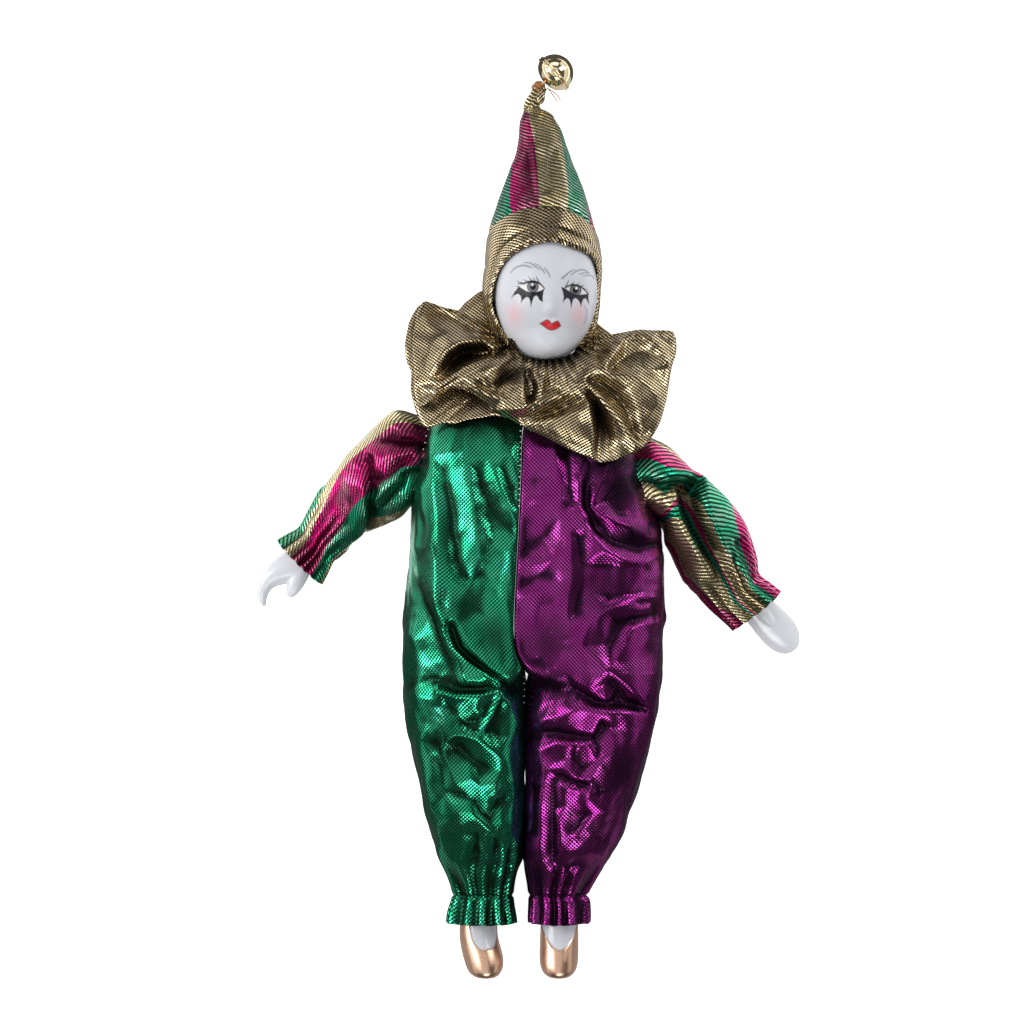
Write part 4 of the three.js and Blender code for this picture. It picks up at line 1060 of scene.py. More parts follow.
sleeve("right_sleeve", "sleeve_right", RIGHT_UPPER, RIGHT_LOWER,
       [(0, 23), (0.25, 23), (0.5, 19), (0.86, 12.0), (1, 14)],
       [(0, -0.06, 0.15, 0.6, 0.93, 1.06, 1.18, 1.3, 1.4, 1.45, 1.48, 1.5),
        (0.45, 0.04, 0.15, 0.6, 0.93, 1.06, 1.18, 1.3, 1.4, 1.45, 1.48, 1.5),
        (1, 0.14, 0.34, 0.82, 0.98, 1.12, 1.22, 1.32, 1.4, 1.45, 1.48, 1.5)],
       0.82, 40, RIGHT_SLEEVE_CREASES, RIGHT_SLEEVE_PAINTED_SHADE, 31)
sleeve("left_sleeve", "sleeve_left", LEFT_UPPER, LEFT_LOWER,
       [(0, 23), (0.25, 23), (0.5, 20), (0.86, 12.5), (1, 14.5)],
       [(0, -0.4, 0.1, 0.31, 0.58, 0.9, 0.95, 1.0, 1.1, 1.2, 1.3, 1.5),
        (0.2, -0.4, 0.1, 0.31, 0.6, 0.86, 0.9, 0.93, 1.04, 1.2, 1.3, 1.5),
        (0.35, -0.4, 0.02, 0.1, 0.2, 0.34, 0.42, 0.6, 0.92, 1.1, 1.3, 1.5),
        (0.5, -0.4, -0.16, 0.01, 0.33, 0.42, 0.5, 0.67, 0.96, 1.1, 1.3, 1.5),
        (0.65, -0.4, -0.2, 0.14, 0.4, 0.55, 0.57, 0.63, 0.94, 1.1, 1.3, 1.5),
        (0.85, -0.4, -0.2, 0.13, 0.27, 0.58, 0.6, 0.67, 0.9, 1.1, 1.3, 1.5),
        (1, -0.4, -0.2, 0.1, 0.3, 0.58, 0.6, 0.63, 0.8, 1.1, 1.3, 1.5)],
       0.85, -54, LEFT_SLEEVE_CREASES, LEFT_SLEEVE_PAINTED_SHADE, 47)

# %% [markdown]
# The hat is a cone of the same cloth. Its lower edge is the seam to the hood, which runs in an arch
# over the forehead and down behind the head. Each ring of the cone starts level at the tip and leans
# further towards that seam the lower it lies.

# %% Hat
HAT_LEFT = [(44, -6.5), (48, -9.2), (54, -11.4), (60.9, -11.9), (67.4, -11.3), (73.8, -10.8), (77.1, -10.3),
            (83.6, -7.8), (90, -5.9), (99.8, -3.2), (106.2, -2.2), (109, -1.2), (111, -0.6), (114, 0.9),
            (116, 2.2)]
HAT_RIGHT = [(44, 15.5), (48, 17.4), (54, 18.8), (60.9, 19.3), (67.4, 19.6), (73.8, 18.6), (77.1, 17.8),
             (83.6, 15.9), (90, 13.8), (99.8, 10.3), (103, 9.2), (106.2, 7.6), (108.4, 6.3), (109.6, 3.6),
             (111, 3.2), (114, 4.3), (116, 5.2)]
HAT_FRONT = [(44, 23), (50, 26), (56, 28), (62, 28.8), (68, 29.6), (74, 30.6), (78, 29.8), (82.4, 27.6),
             (90, 22.5), (99, 16.4), (106.2, 11.4), (110, 8.2), (116, 7.4)]
HAT_BACK = [(44, 5), (50, 2), (58, 1.2), (66, 1.2), (75, 2.2), (90, 3), (106, 3), (110.6, 3.6), (116, 3.8)]
BAND_LINE = [(70, 2.4), (80.6, 2.9), (98, 1.9), (109, 0.3), (116, 2.5)]  # the edge of a band down the front
HAT_CREASES = [
    [(-14, 74, 0), (-10, 92, 0), (-5, 108, 0), (0, 116, 0)],
    [(22, 72, 0), (17, 92, 0), (10, 108, 0), (5, 116, 0)],
    [(2.5, 104, 0.4), (1.2, 98, 0.7), (2.4, 92, 0.6), (3.2, 86, 0.3)],
    [(-0.8, 103, -0.4), (0.4, 96, -0.5), (1.4, 88, -0.4), (2.2, 84, -0.1)],
    [(5.5, 106, 0.2), (8.0, 98, 0.5), (10.0, 90, 0.6), (11, 82, 0.3)],
    [(-4, 94, 0.5), (-6, 86, 0.5), (-7, 80, 0.2)], [(6, 95, -0.4), (6.5, 88, -0.3)],
    [(11, 97, -0.2), (13, 88, -0.3)],
]
SEAM_FRONT, SEAM_BACK, SEAM_FRONT_Z, SEAM_BACK_Z = 80.8, 62.0, 28.0, 2.0
HAT_ROWS, HAT_POINTS, HAT_TIP = 150, 170, 115.2
HAT_GATHERS, GATHER_HEIGHT = 26, 0.25
TIP_TURNS, TWIST_HEIGHT, TIP_SHIFT = 5, 0.45, 5


def seam_side(y, z):
    """How far a point lies above the seam between hood and hat, towards the crown."""
    slope = (SEAM_FRONT - SEAM_BACK) / (SEAM_FRONT_Z - SEAM_BACK_Z)
    return (y - SEAM_BACK - slope * (z - SEAM_BACK_Z)) / math.hypot(1, slope)


def hat_at(y):
    """The cone's left and right edge, back and front at y."""
    return [through(edge, y) for edge in (HAT_LEFT, HAT_RIGHT, HAT_BACK, HAT_FRONT)]


def on_hat(y, angle):
    left, right, low, high = hat_at(y)
    return np.stack([(left + right) / 2 + (right - left) / 2 * np.cos(angle), y,
                     (low + high) / 2 + (high - low) / 2 * np.sin(angle)], -1)


def hat():
    count = HAT_POINTS
    angle = from_below(count)[None]
    t = np.linspace(0, 1, HAT_ROWS)[:, None]
    start = np.full((1, count), 75.0)
    for _ in range(12):
        start = start - 0.7 * seam_side(start, on_hat(start, angle)[..., 2])
    y = (start + 0.25) * (1 - t) + HAT_TIP * t
    points = on_hat(y, angle + 0 * y)
    normal = normals_of(points)
    arc = lengths(np.concatenate([points, points[:, :1]], 1))
    line = through(BAND_LINE, y)
    half = slice(count // 4, 3 * count // 4)
    crossing = np.argmin(np.abs(points - line[..., None])[:, half, 0], 1) + count // 4
    zero = np.array([arc[r, c] + points[r, c, 0] - line[r, c] for r, c in enumerate(crossing)])
    uv = np.zeros((HAT_ROWS, count + 1, 2))
    uv[..., 0] = -(arc - zero[:, None]) - BAND + 3 * BAND
    uv[..., 1] = np.concatenate([y, y[:, :1]], 1)
    uv[..., 0] += TIP_SHIFT * smooth(uv[..., 1], 108, 110)
    u, v = uv[:, :-1, 0], uv[:, :-1, 1] - 90
    random = crumple(53, (120, 120), 7.0, 0.25, 0.5).at(u, v)
    fine = crumple(54, (120, 120), 2.5, 0.06, 0.3).at(u, v)
    named = crease_net(HAT_CREASES).at(*np.moveaxis(seen(points), -1, 0)) * smooth(normal[..., 2], 0.0, 0.4)
    twisted = smooth(y, 107, 112)
    push = (random + fine + named) * smooth(t, 0.0, 0.05) * (1 - twisted)
    push += TWIST_HEIGHT * np.sin(TIP_TURNS * angle + 0.9 * y) * twisted
    push += GATHER_HEIGHT * np.cos(angle * HAT_GATHERS) * (1 - smooth(t, 0.0, 0.06))
    points = pushed(points, normal, push)
    # Painted shade: the listed soft spots darken the hat's foil.
    piece = tube("cone_hat", points, uv, HAT_CLOTH, painted_shade_spots(points, HAT_PAINTED_SHADE))
    dress(piece, "hat")


hat()

# %% [markdown]
# The hood is a strip of gold cloth stretched round the head. Rays from the middle of the head find its
# surface: each row starts at the face opening and runs outwards and round behind the head, or only as
# far as the seam to the hat. The edge at the face is rolled.

# %% Hood
FACE_MIDDLE = (4.8, 57.5)
FACE_OPENING = [  # the hood's edge round the face, as it appears
    (18.2, 60.3), (18.2, 66.3), (17.3, 69.1), (15.0, 70.6), (11.7, 71.7), (8.6, 72.9), (6.8, 73.4),
    (4.2, 73.3), (1.1, 72.6), (-2.2, 71.0), (-4.9, 69.1), (-7.7, 65.2), (-9.2, 60.5), (-9.4, 56.0),
    (-7.3, 51.1), (-4.7, 46.2), (0, 41), (4.8, 39.5), (10, 41), (14.0, 46.8), (17.0, 52.5), (17.8, 56.0)]
HOOD_HEART = np.array([4.8, 58.0, 15.0])  # the rays start here
HOOD_ROWS, HOOD_POINTS, HOOD_FROM, HOOD_TO = 260, 72, -58, 238
HOOD_WALL = 0.5
ROLL_HEIGHT, ROLL_GROOVE = 0.5, 0.35


def within_cone(p):
    left, right, low, high = hat_at(p[:, 1])
    return (((2 * p[:, 0] - left - right) / (right - left)) ** 2
            + ((2 * p[:, 2] - low - high) / (high - low)) ** 2 < 1)


def hood_row(phi, edge_turn, edge_reach):
    """One row of the hood, from the face outwards, as points with their distance from the face."""
    fine = np.linspace(math.radians(12), math.radians(179), 500)
    way = np.stack([np.sin(fine) * math.cos(phi), np.sin(fine) * math.sin(phi), np.cos(fine)], 1)
    near, far = np.zeros(len(fine)), np.full(len(fine), 60.0)
    for _ in range(26):
        middle = (near + far) / 2
        inside = within_cone(HOOD_HEART + way * middle[:, None])
        near, far = np.where(inside, middle, near), np.where(inside, far, middle)
    p = HOOD_HEART + way * near[:, None]
    from_middle = seen(p) - FACE_MIDDLE
    edge_here = np.interp(np.arctan2(*from_middle.T[::-1]), edge_turn, edge_reach, period=2 * math.pi)
    out = np.hypot(*from_middle.T) > edge_here
    first = int(np.argmax(out | (p[:, 2] < HOOD_HEART[2])))
    beyond = seam_side(p[:, 1], p[:, 2]) > -0.25
    beyond[:first + 3] = False
    last = int(np.argmax(beyond)) if beyond.any() else len(fine) - 1
    path = p[first:last + 1]
    at = np.linspace(0, 1, HOOD_POINTS) ** 1.25 * lengths(path)[-1]
    return np.column_stack([at_lengths(path, at), at])


def hood():
    edge = curve(FACE_OPENING + FACE_OPENING[:1], np.linspace(0, 1, 240)) - FACE_MIDDLE
    edge_turn, edge_reach = np.arctan2(edge[:, 1], edge[:, 0]), np.hypot(*edge.T)
    turns = np.linspace(math.radians(HOOD_FROM), math.radians(HOOD_TO), HOOD_ROWS)
    rings = np.array([hood_row(phi, edge_turn, edge_reach) for phi in turns])
    depth = rings[..., 3]
    points = np.stack([blurred(rings[..., k], 1.0) for k in range(3)], -1)
    normal = np.cross(np.gradient(points, axis=0), np.gradient(points, axis=1))
    normal /= np.maximum(np.linalg.norm(normal, axis=2, keepdims=True), 1e-9)
    if (normal * (points - HOOD_HEART)).sum() < 0:
        normal = -normal
    around = lengths(points[:, 6])[:, None]
    uv = np.stack([np.broadcast_to(around, depth.shape), depth], -1)
    wrinkle = crumple(61, (140, 80), 5.0, 0.14, 0.4).at(around - 50, depth - 25)
    rim = (np.exp(-((depth - 1.0) / 0.9) ** 2) * ROLL_HEIGHT
           - np.exp(-((depth - 3.4) / 0.7) ** 2) * ROLL_GROOVE)
    strain = 0.12 * np.sin(around * 2.1) * np.exp(-depth / 3.0)
    fade = smooth(depth.max(1, keepdims=True) - depth, 0.0, 1.5)
    points = pushed(points, normal, wrinkle * fade + rim + strain + 0.1, 0.7)
    # Painted shade: the gold is darkened in a band over the brow, above the face opening.
    brow = 0.35 * np.exp(-((points[..., 0] - 5) / 9) ** 2) * smooth(points[..., 1], 68, 74)
    piece = sheet("face_hood", points, uv, GOLD_LAME, HOOD_WALL, brow)
    dress(piece, "hood")
    print("hood strip", round(float(lengths(points[:, 20])[-1])), "x", round(float(depth.max())), "mm")
    return piece


hood()

# %% [markdown]
# The ruff is a gathered collar of two layers of gold cloth. From its gathers at the neck it runs out
# over the chest and shoulders and round behind the head. Its rim is measured on the photograph, each
# point with its height, and so are the ridges and hollows between rim and neck.

# %% Ruff rim and creases
RUFF_RIM, RUFF_BACK = in_mm(
    10,
    [(397, 468, 230), (389, 441, 245), (383, 401, 260), (378, 347, 280), (373, 306, 290), (362, 274, 295),
     (351, 239, 305), (335, 207, 310), (316, 185, 315), (292, 166, 322), (262, 155, 330), (227, 142, 340),
     (194, 139, 348), (167, 150, 353), (127, 166, 358), (86, 185, 360), (46, 207, 360), (5, 225, 360),
     (-24, 242, 360), (-54, 258, 360), (-78, 271, 360), (-105, 293, 360), (-130, 312, 356),
     (-157, 328, 352), (-184, 336, 346), (-211, 339, 338), (-235, 333, 328), (-254, 320, 316),
     (-270, 301, 304), (-289, 290, 292), (-302, 306, 280), (-308, 339, 272), (-308, 401, 260),
     (-311, 455, 246), (-308, 495, 226), (-297, 544, 196), (-281, 571, 175), (-257, 566, 166),
     (-235, 558, 156), (-211, 552, 146), (-192, 547, 130), (-167, 528, 100), (-135, 517, 70),
     (-97, 506, 45), (-62, 495, 30), (-22, 485, 20), (46, 479, 16), (108, 479, 20), (140, 482, 40),
     (162, 485, 70), (186, 474, 110), (208, 468, 135), (227, 474, 150), (248, 481, 165), (275, 490, 180),
     (302, 495, 190), (335, 493, 204), (370, 493, 216), (394, 489, 224)],
    [(400, 474, 200), (400, 436, 210), (389, 398, 230), (378, 333, 250), (367, 279, 264), (346, 225, 280),
     (302, 182, 296), (227, 166, 314), (140, 188, 326), (46, 220, 330), (-35, 252, 330), (-89, 263, 320),
     (-130, 258, 306), (-165, 252, 296), (-197, 242, 288), (-227, 244, 280), (-246, 239, 276),
     (-262, 234, 270), (-281, 234, 260), (-297, 261, 250), (-308, 296, 240), (-316, 333, 230),
     (-316, 382, 216), (-327, 409, 200), (-332, 450, 186), (-329, 479, 174), (-316, 528, 156),
     (-286, 566, 136), (-238, 555, 120), (-197, 544, 100), (-167, 571, 84), (-119, 603, 64),
     (-84, 598, 40), (-22, 528, 14), (54, 509, 12), (127, 517, 14), (151, 539, 32), (173, 525, 70),
     (197, 504, 100), (219, 487, 124), (238, 471, 144), (286, 485, 162), (343, 490, 178), (383, 487, 190)])
RUFF_CREASES = in_mm(
    10,
    [(-238, 406, 19), (-219, 436, 21), (-184, 458, 22), (-130, 466, 20), (-89, 441, 12)],
    [(-281, 528, 9), (-265, 490, 6), (-265, 441, 4), (-270, 382, 5), (-248, 355, 9), (-238, 333, 8)],
    [(-281, 558, 6), (-238, 544, -2), (-194, 522, -6), (-157, 495, -4)],
    [(-238, 495, 8), (-197, 482, 9), (-157, 477, 12)],
    [(-227, 387, -12), (-205, 420, -28), (-173, 439, -32), (-124, 450, -30), (-84, 433, -14)],
    [(-235, 371, -4), (-205, 393, -16), (-157, 414, -14), (-108, 425, -6)],
    [(-176, 390, 22), (-143, 404, 24), (-103, 417, 22), (-62, 420, 12)],
    [(-162, 369, 16), (-130, 377, 20), (-92, 393, 18), (-62, 409, 10)],
    [(-146, 352, 9), (-119, 344, 6), (-97, 347, 2), (-81, 369, -2)],
    [(-84, 350, -22), (-59, 369, -28), (-35, 387, -22), (-19, 393, -10)],
    [(-238, 336, 12), (-213, 360, 17), (-192, 377, 19), (-176, 387, 21)],
    [(-176, 382, 19), (-157, 355, 17), (-130, 331, 18), (-89, 315, 18), (-49, 306, 17), (-8, 301, 14)],
    [(-135, 344, -4), (-103, 331, -2), (-68, 323, 3)],
    [(-68, 342, 4), (-43, 344, 11), (-14, 347, 16), (-11, 315, 16)],
    [(-35, 360, -12), (-16, 371, -8)],
    [(-3, 382, -22), (5, 344, -34), (8, 312, -26), (3, 296, -8)],
    [(16, 387, 4), (24, 366, 13), (32, 339, 15), (24, 312, 13), (14, 293, 11)],
    [(46, 366, -2), (51, 339, -4), (46, 317, -2)],
    [(59, 371, 11), (86, 363, 15), (119, 344, 13)],
    [(68, 350, 9), (92, 331, 9), (113, 325, 5)],
    [(57, 377, 6), (65, 347, 5), (84, 323, -6), (113, 315, 2)],
    [(-73, 277, 19), (-22, 285, 22), (32, 298, 23), (73, 315, 22), (119, 325, 14)],
    [(-22, 258, 4), (32, 261, -8), (81, 277, -14), (119, 290, -12), (140, 298, -6)],
    [(-62, 263, 10), (-32, 266, 8), (5, 274, 6), (54, 288, 11)],
    [(16, 242, 6), (65, 255, 10), (103, 266, 13), (140, 282, 14)],
    [(46, 220, 5), (92, 225, 9), (135, 242, 13)],
    [(86, 198, 4), (127, 198, 9), (162, 209, 10)],
    [(151, 315, 2), (165, 296, 10), (173, 252, 12), (176, 209, 10), (173, 166, 6)],
    [(167, 328, -8), (184, 298, -26), (194, 252, -30), (200, 204, -24), (202, 166, -12)],
    [(127, 377, 14), (149, 358, 18), (173, 331, 20), (200, 301, 21), (227, 269, 20), (254, 242, 18),
     (292, 188, 10)],
    [(211, 274, 7), (227, 239, 4), (248, 198, 4)],
    [(135, 404, 16), (167, 393, 20), (192, 390, 21), (211, 404, 22), (227, 433, 22), (248, 463, 19),
     (278, 485, 12)],
    [(157, 436, -6), (186, 425, -9), (205, 436, -8)],
    [(167, 463, -4), (205, 458, -6), (232, 463, 0)],
    [(227, 398, -6), (259, 420, -10), (297, 436, -9), (324, 436, -4)],
    [(262, 455, 2), (292, 468, 4)],
    [(308, 487, 10), (332, 466, 14), (356, 439, 16), (381, 409, 12)],
    [(343, 455, 8), (367, 463, 3)],
    [(130, 385, 12), (167, 377, 16), (211, 371, 18), (254, 369, 19), (297, 363, 19), (324, 350, 17),
     (346, 317, 14), (351, 296, 11)],
    [(281, 387, 3), (329, 387, 1), (356, 350, 2)],
    [(167, 355, -4), (200, 344, -10), (232, 323, -14), (259, 290, -12), (275, 258, -6)],
    [(265, 344, 9), (286, 317, 10), (302, 279, 8)],
    [(259, 239, -6), (281, 220, -10), (308, 204, -6)],
    [(302, 242, 7), (335, 274, 7)])
print(len(RUFF_CREASES), "creases on the ruff")

# %% [markdown]
# Each layer is a closed strip between its gathers at the neck and its rim, arched in between. The gathers
# are a cosine that fades outwards, the creases are hung on it, and a floor height keeps it off the romper.

# %% Ruff
NECKLINE = (4.8, 40.9, 15.5)  # front middle of the gathers
NECKLINE_SIDE, NECKLINE_FRONT, NECKLINE_BACK, NECKLINE_RISE = 9.4, 10.2, 8.2, 5.4
RUFF_ARCH = 4.8
RUFF_WALL = 0.35
RUFF_FOLD = 1.8  # height in mm of a crease noted as 1
RUFF_GATHERS, RUFF_PLEATS = 30, 10
RUFF_CLEAR = 2.7  # how far it stays off the romper
BIAS = ((-1e3, -80), (-1.5, -15), (18.5, -80))  # from this x on, the weave lies at this angle


def romper_front(x, y):
    """Height of the romper's smooth front, and far below where there is none."""
    seam = through(SEAM, y)
    top, under = through(ROMPER_TOP, y), through(ROMPER_UNDER, y)
    outer = np.where(x < seam, through(GREEN_OUTER, y), through(PURPLE_OUTER, y))
    out = (x - (seam + outer) / 2) / ((outer - seam) / 2)
    bulge = np.where(out > 0, (1 - np.clip(out, 0, 1) ** BODY_POWER) ** (1 / BODY_POWER), 1)
    return np.where(out < 1, (top + under) / 2 + (top - under) / 2 * bulge, -50.0)


def ruff(name, rim, creases, layer, rows, count, seed):
    """One layer of the collar; layer is how far under the front layer its neckline lies."""
    rim = in_place(rim)
    outer = curve(np.vstack([rim, rim[:1]]), np.arange(rows) / rows)
    turn = -np.unwrap(np.arctan2(outer[:, 1] - NECKLINE[1] - 4, outer[:, 0] - NECKLINE[0]))
    turn = np.maximum.accumulate(turn)
    turn = np.concatenate([turn - 2 * math.pi, turn, turn + 2 * math.pi])
    turn = blurred_line(turn, rows / 80)[rows:2 * rows]
    c, s = np.cos(turn), np.sin(turn)
    inner = np.stack([NECKLINE[0] + (NECKLINE_SIDE - layer) * c,
                      NECKLINE[1] - 0.6 * layer + NECKLINE_RISE * (1 - np.clip(s, 0, 1)),
                      NECKLINE[2] + (np.where(s > 0, NECKLINE_FRONT, NECKLINE_BACK) - layer) * s], 1)
    r = np.linspace(0, 1, count)[None, :, None]
    points = inner[:, None] * (1 - r) + outer[:, None] * r
    front = smooth(s, -0.3, 0.3)[:, None]
    points[..., 2] += RUFF_ARCH * front * np.sin(math.pi * r[..., 0]) * (1 - 0.35 * (layer > 0))

    depth = lengths(points)
    hem = depth[:, -1:] - depth
    around = lengths(outer)[:, None]
    shown = smooth(s, -0.75, -0.5)[:, None]
    flat = seen(points)
    edge = [[(x, y, 0) for x, y in seen(np.vstack([line, line[:1]]))] for line in (outer[::6], inner[::10])]
    lift = crease_net(creases + edge, rounding=0.35).at(flat[..., 0], flat[..., 1]) * shown
    turn = turn[:, None]
    gathers = np.cos(RUFF_GATHERS * turn + 2 * np.sin(4 * turn)) * np.exp(-depth / 7)
    hollow = lift + 0.6 * (gathers * smooth(-s, 0.4, -0.2)[:, None])
    crumpled = crumple(seed, (120, 120), 7.0, 0.15 + 0.5 * layer, 0.5).at(flat[..., 0], flat[..., 1] - 30)
    lift = (RUFF_FOLD * lift + crumpled) * smooth(depth, 0.0, 3.0)
    ripple = 0.3 * np.cos(around / 2.1 + 2 * np.sin(around / 17)) * np.exp(-hem / 3) * (1 - 0.6 * shown)
    fold = 1.3 * np.cos(RUFF_PLEATS * turn) * r[..., 0] * (1 - shown)
    doubled = 0.16 * smooth(hem, 1.7, 1.2)
    points[..., 2] += lift + gathers + ripple + fold + doubled
    clear = romper_front(points[..., 0], points[..., 1]) + RUFF_CLEAR - layer * 0.5
    points[..., 2] = np.where(front > 0, np.maximum(points[..., 2], clear), points[..., 2])
    points[..., 2] = np.maximum(points[..., 2], 0.5)

    uv = np.zeros((rows + 1, count, 2))
    flat = np.concatenate([flat, flat[:1]])
    for start, angle in BIAS:
        a = math.radians(angle)
        zone = flat[..., 0] >= start
        uv[zone] = (flat @ np.array([[math.cos(a), -math.sin(a)], [math.sin(a), math.cos(a)]]))[zone]
    # Painted shade: the foil is darkened in the valleys of the creases and gathers, and deep in the gathers
    # at the neck.
    painted_shade_and_seam = 0.85 * np.maximum(smooth(-hollow, 0.2, 2.2), np.exp(-(depth / 2.6) ** 2))
    piece = sheet(name, points, uv, GOLD_LAME, RUFF_WALL, painted_shade_and_seam, closed=True)
    dress(piece, "ruff")
    steps = np.linalg.norm(np.diff(points, axis=1), axis=2)
    widths = np.linalg.norm(np.diff(np.concatenate([points, points[:1]]), axis=0), axis=2)
    area = float((steps.sum(1, keepdims=True) * widths.mean(1, keepdims=True)).sum())
    print(name, "rim", round(float(around[-1, 0])), "mm, deepest", round(float(steps.sum(1).max())),
          "mm, cloth", round(area), "mm2")
    return piece


front_ruff = ruff("ruff_front_layer", RUFF_RIM, RUFF_CREASES, 0, 620, 56, 71)
back_ruff = ruff("ruff_back_layer", RUFF_BACK, [], 1.0, 440, 30, 83)

# %% [markdown]
# The head, hands and feet are bisque castings under a clear glaze. The face paint lies under that
# glaze, so paint and porcelain share one shiny skin. The paint is a colour kept at each point of the
# mesh, which is why the face is cut finely where it is painted. A second value says where the shoes
# are gilded.

# %% Glazed porcelain
PORCELAIN = (0.55, 0.56, 0.6)
# Painted light: the hands' porcelain is painted lighter than the face and legs, though all are the same
# glazed porcelain.
HANDS_PAINTED_LIGHTER = (0.67, 0.68, 0.72)
SHADED_GLAZE, SPECK = (0.45, 0.46, 0.52, 1), (0.2, 0.16, 0.14, 1)


def make_glaze():
    group, given, out = node_group(
        "glaze", [("Colour", "Color", None), ("Gilt", "Float", 0.0)],
        [("Colour", "Color"), ("Roughness", "Float"), ("Height", "Float")])
    w = Wiring(group)
    place = w.place()
    cloud = w.ramp(w.noise(place, 90.0, 4.0), 0.35, 0.75)
    specks = w.ramp(w.noise(place, 2600.0, 2.0), 0.70, 0.76)
    tinted = w.mix(w.math("MULTIPLY", cloud, 0.05), given["Colour"], SHADED_GLAZE)
    worn = w.math("MULTIPLY", w.ramp(w.noise(place, 700.0, 3.0), 0.3, 0.8), 0.12)
    brushed = w.math("ADD", w.math("MULTIPLY", given["Gilt"], 0.14), 0.13)
    w.fill(out, Colour=w.mix(w.math("MULTIPLY", specks, 0.12), tinted, SPECK),
           Roughness=w.math("ADD", brushed, worn), Height=w.noise(place, 420.0, 2.0))
    return group


GLAZE = make_glaze()


def make_porcelain(name, gloss):
    material, shader = principled(name, Specular_IOR_Level=gloss)
    w = Wiring(material.node_tree)
    gilt = w.attribute("gilt")["Fac"]
    glaze = w.effect(GLAZE, Colour=w.attribute("paint")["Color"], Gilt=gilt)
    w.fill(shader, Base_Color=glaze["Colour"], Roughness=glaze["Roughness"], Metallic=gilt,
           Normal=w.bump(glaze["Height"], 0.12, 0.0002))
    return material


GLAZED_FACE = make_porcelain("painted_face", 0.15)
GLAZED_LIMBS = make_porcelain("glazed_limbs", 0.5)
print("porcelain:", GLAZED_FACE.name, GLAZED_LIMBS.name)


def painted(piece, colours, gilt, glazed=GLAZED_LIMBS):
    """Keeps a colour and a gilding for each point, and gives the piece its glaze."""
    layer = piece.data.attributes.new("paint", "FLOAT_COLOR", "POINT")
    layer.data.foreach_set("color", np.column_stack([colours, np.ones(len(colours))]).ravel())
    layer = piece.data.attributes.new("gilt", "FLOAT", "POINT")
    layer.data.foreach_set("value", gilt)
    skin(piece, glazed)


def spots_of(piece, what="co"):
    """The piece's points in its own units, or their normals."""
    spots = np.zeros(len(piece.data.vertices) * 3)
    piece.data.vertices.foreach_get(what, spots)
    return spots.reshape(-1, 3)


def pick(piece, chosen):
    """Enters edit mode with only these points selected."""
    bpy.ops.object.mode_set(mode="EDIT")
    bpy.ops.mesh.select_all(action="DESELECT")
    bpy.ops.object.mode_set(mode="OBJECT")
    piece.data.vertices.foreach_set("select", chosen)
    bpy.ops.object.mode_set(mode="EDIT")


# %% [markdown]
# The head starts as a sphere with its poles at chin and crown. Its four quarters are scaled to the
# head's own width, height and depth. Then the features are drawn out or pressed in one by one, as a
# modeller would in clay, each with a soft falloff.

# %% Head
HEAD_MIDDLE = Vector((4.8, 59.3, 18.0)) * MM
HEAD_HALF_WIDTH, HEAD_CHIN, HEAD_CROWN, HEAD_FRONT, HEAD_BACK = 13.9, 19.1, 19.5, 14.5, 14.8
HEAD_TURN, HEAD_TILT = math.radians(4), math.radians(-2)
NECK_RADIUS, NECK_BASE, NECK_HEIGHT = 5.6, 33.5, 15.5
WIDE_PULL, SMALL_PULL_SHARE = 8, 0.45  # a pull that reaches less far than this moves by that share
PULLS = [  # place on the face, how far it is drawn out (or pressed in), and how far that reaches
    ("chin", (0.3, -17.5), 4.0, 10.0), ("chin_tip", (0.4, -15.4), 0.7, 3.6),
    ("nose_bridge", (0.7, -1.6), 0.8, 3.2), ("nose", (0.5, -4.2), 0.9, 3.0),
    ("nose_tip", (0.4, -5.8), 1.1, 2.2),
    ("right_wing", (-1.1, -6.5), 0.35, 1.2), ("left_wing", (1.9, -6.5), 0.35, 1.2),
    ("right_socket", (-5.0, 0.2), -1.0, 4.6), ("left_socket", (6.6, -0.1), -1.0, 4.6),
    ("right_eyeball", (-5.0, 0.1), 0.55, 2.5), ("left_eyeball", (6.6, -0.2), 0.55, 2.5),
    ("right_lid", (-5.0, 1.3), 0.2, 1.2), ("left_lid", (6.6, 0.9), 0.2, 1.2),
    ("right_brow", (-4.6, 4.6), 0.4, 3.6), ("left_brow", (6.4, 4.2), 0.4, 3.6),
    ("right_cheek", (-7.4, -6.4), 0.7, 5.2), ("left_cheek", (8.2, -6.4), 0.7, 5.2),
    ("upper_lip_right", (-0.6, -9.0), 0.55, 1.5), ("upper_lip_left", (1.5, -9.1), 0.55, 1.5),
    ("lower_lip", (0.5, -10.6), 0.75, 1.9), ("mouth_line", (0.5, -9.8), -0.35, 0.9),
    ("under_lip", (0.4, -12.5), -0.5, 2.0), ("groove", (0.5, -7.9), -0.2, 0.9),
]


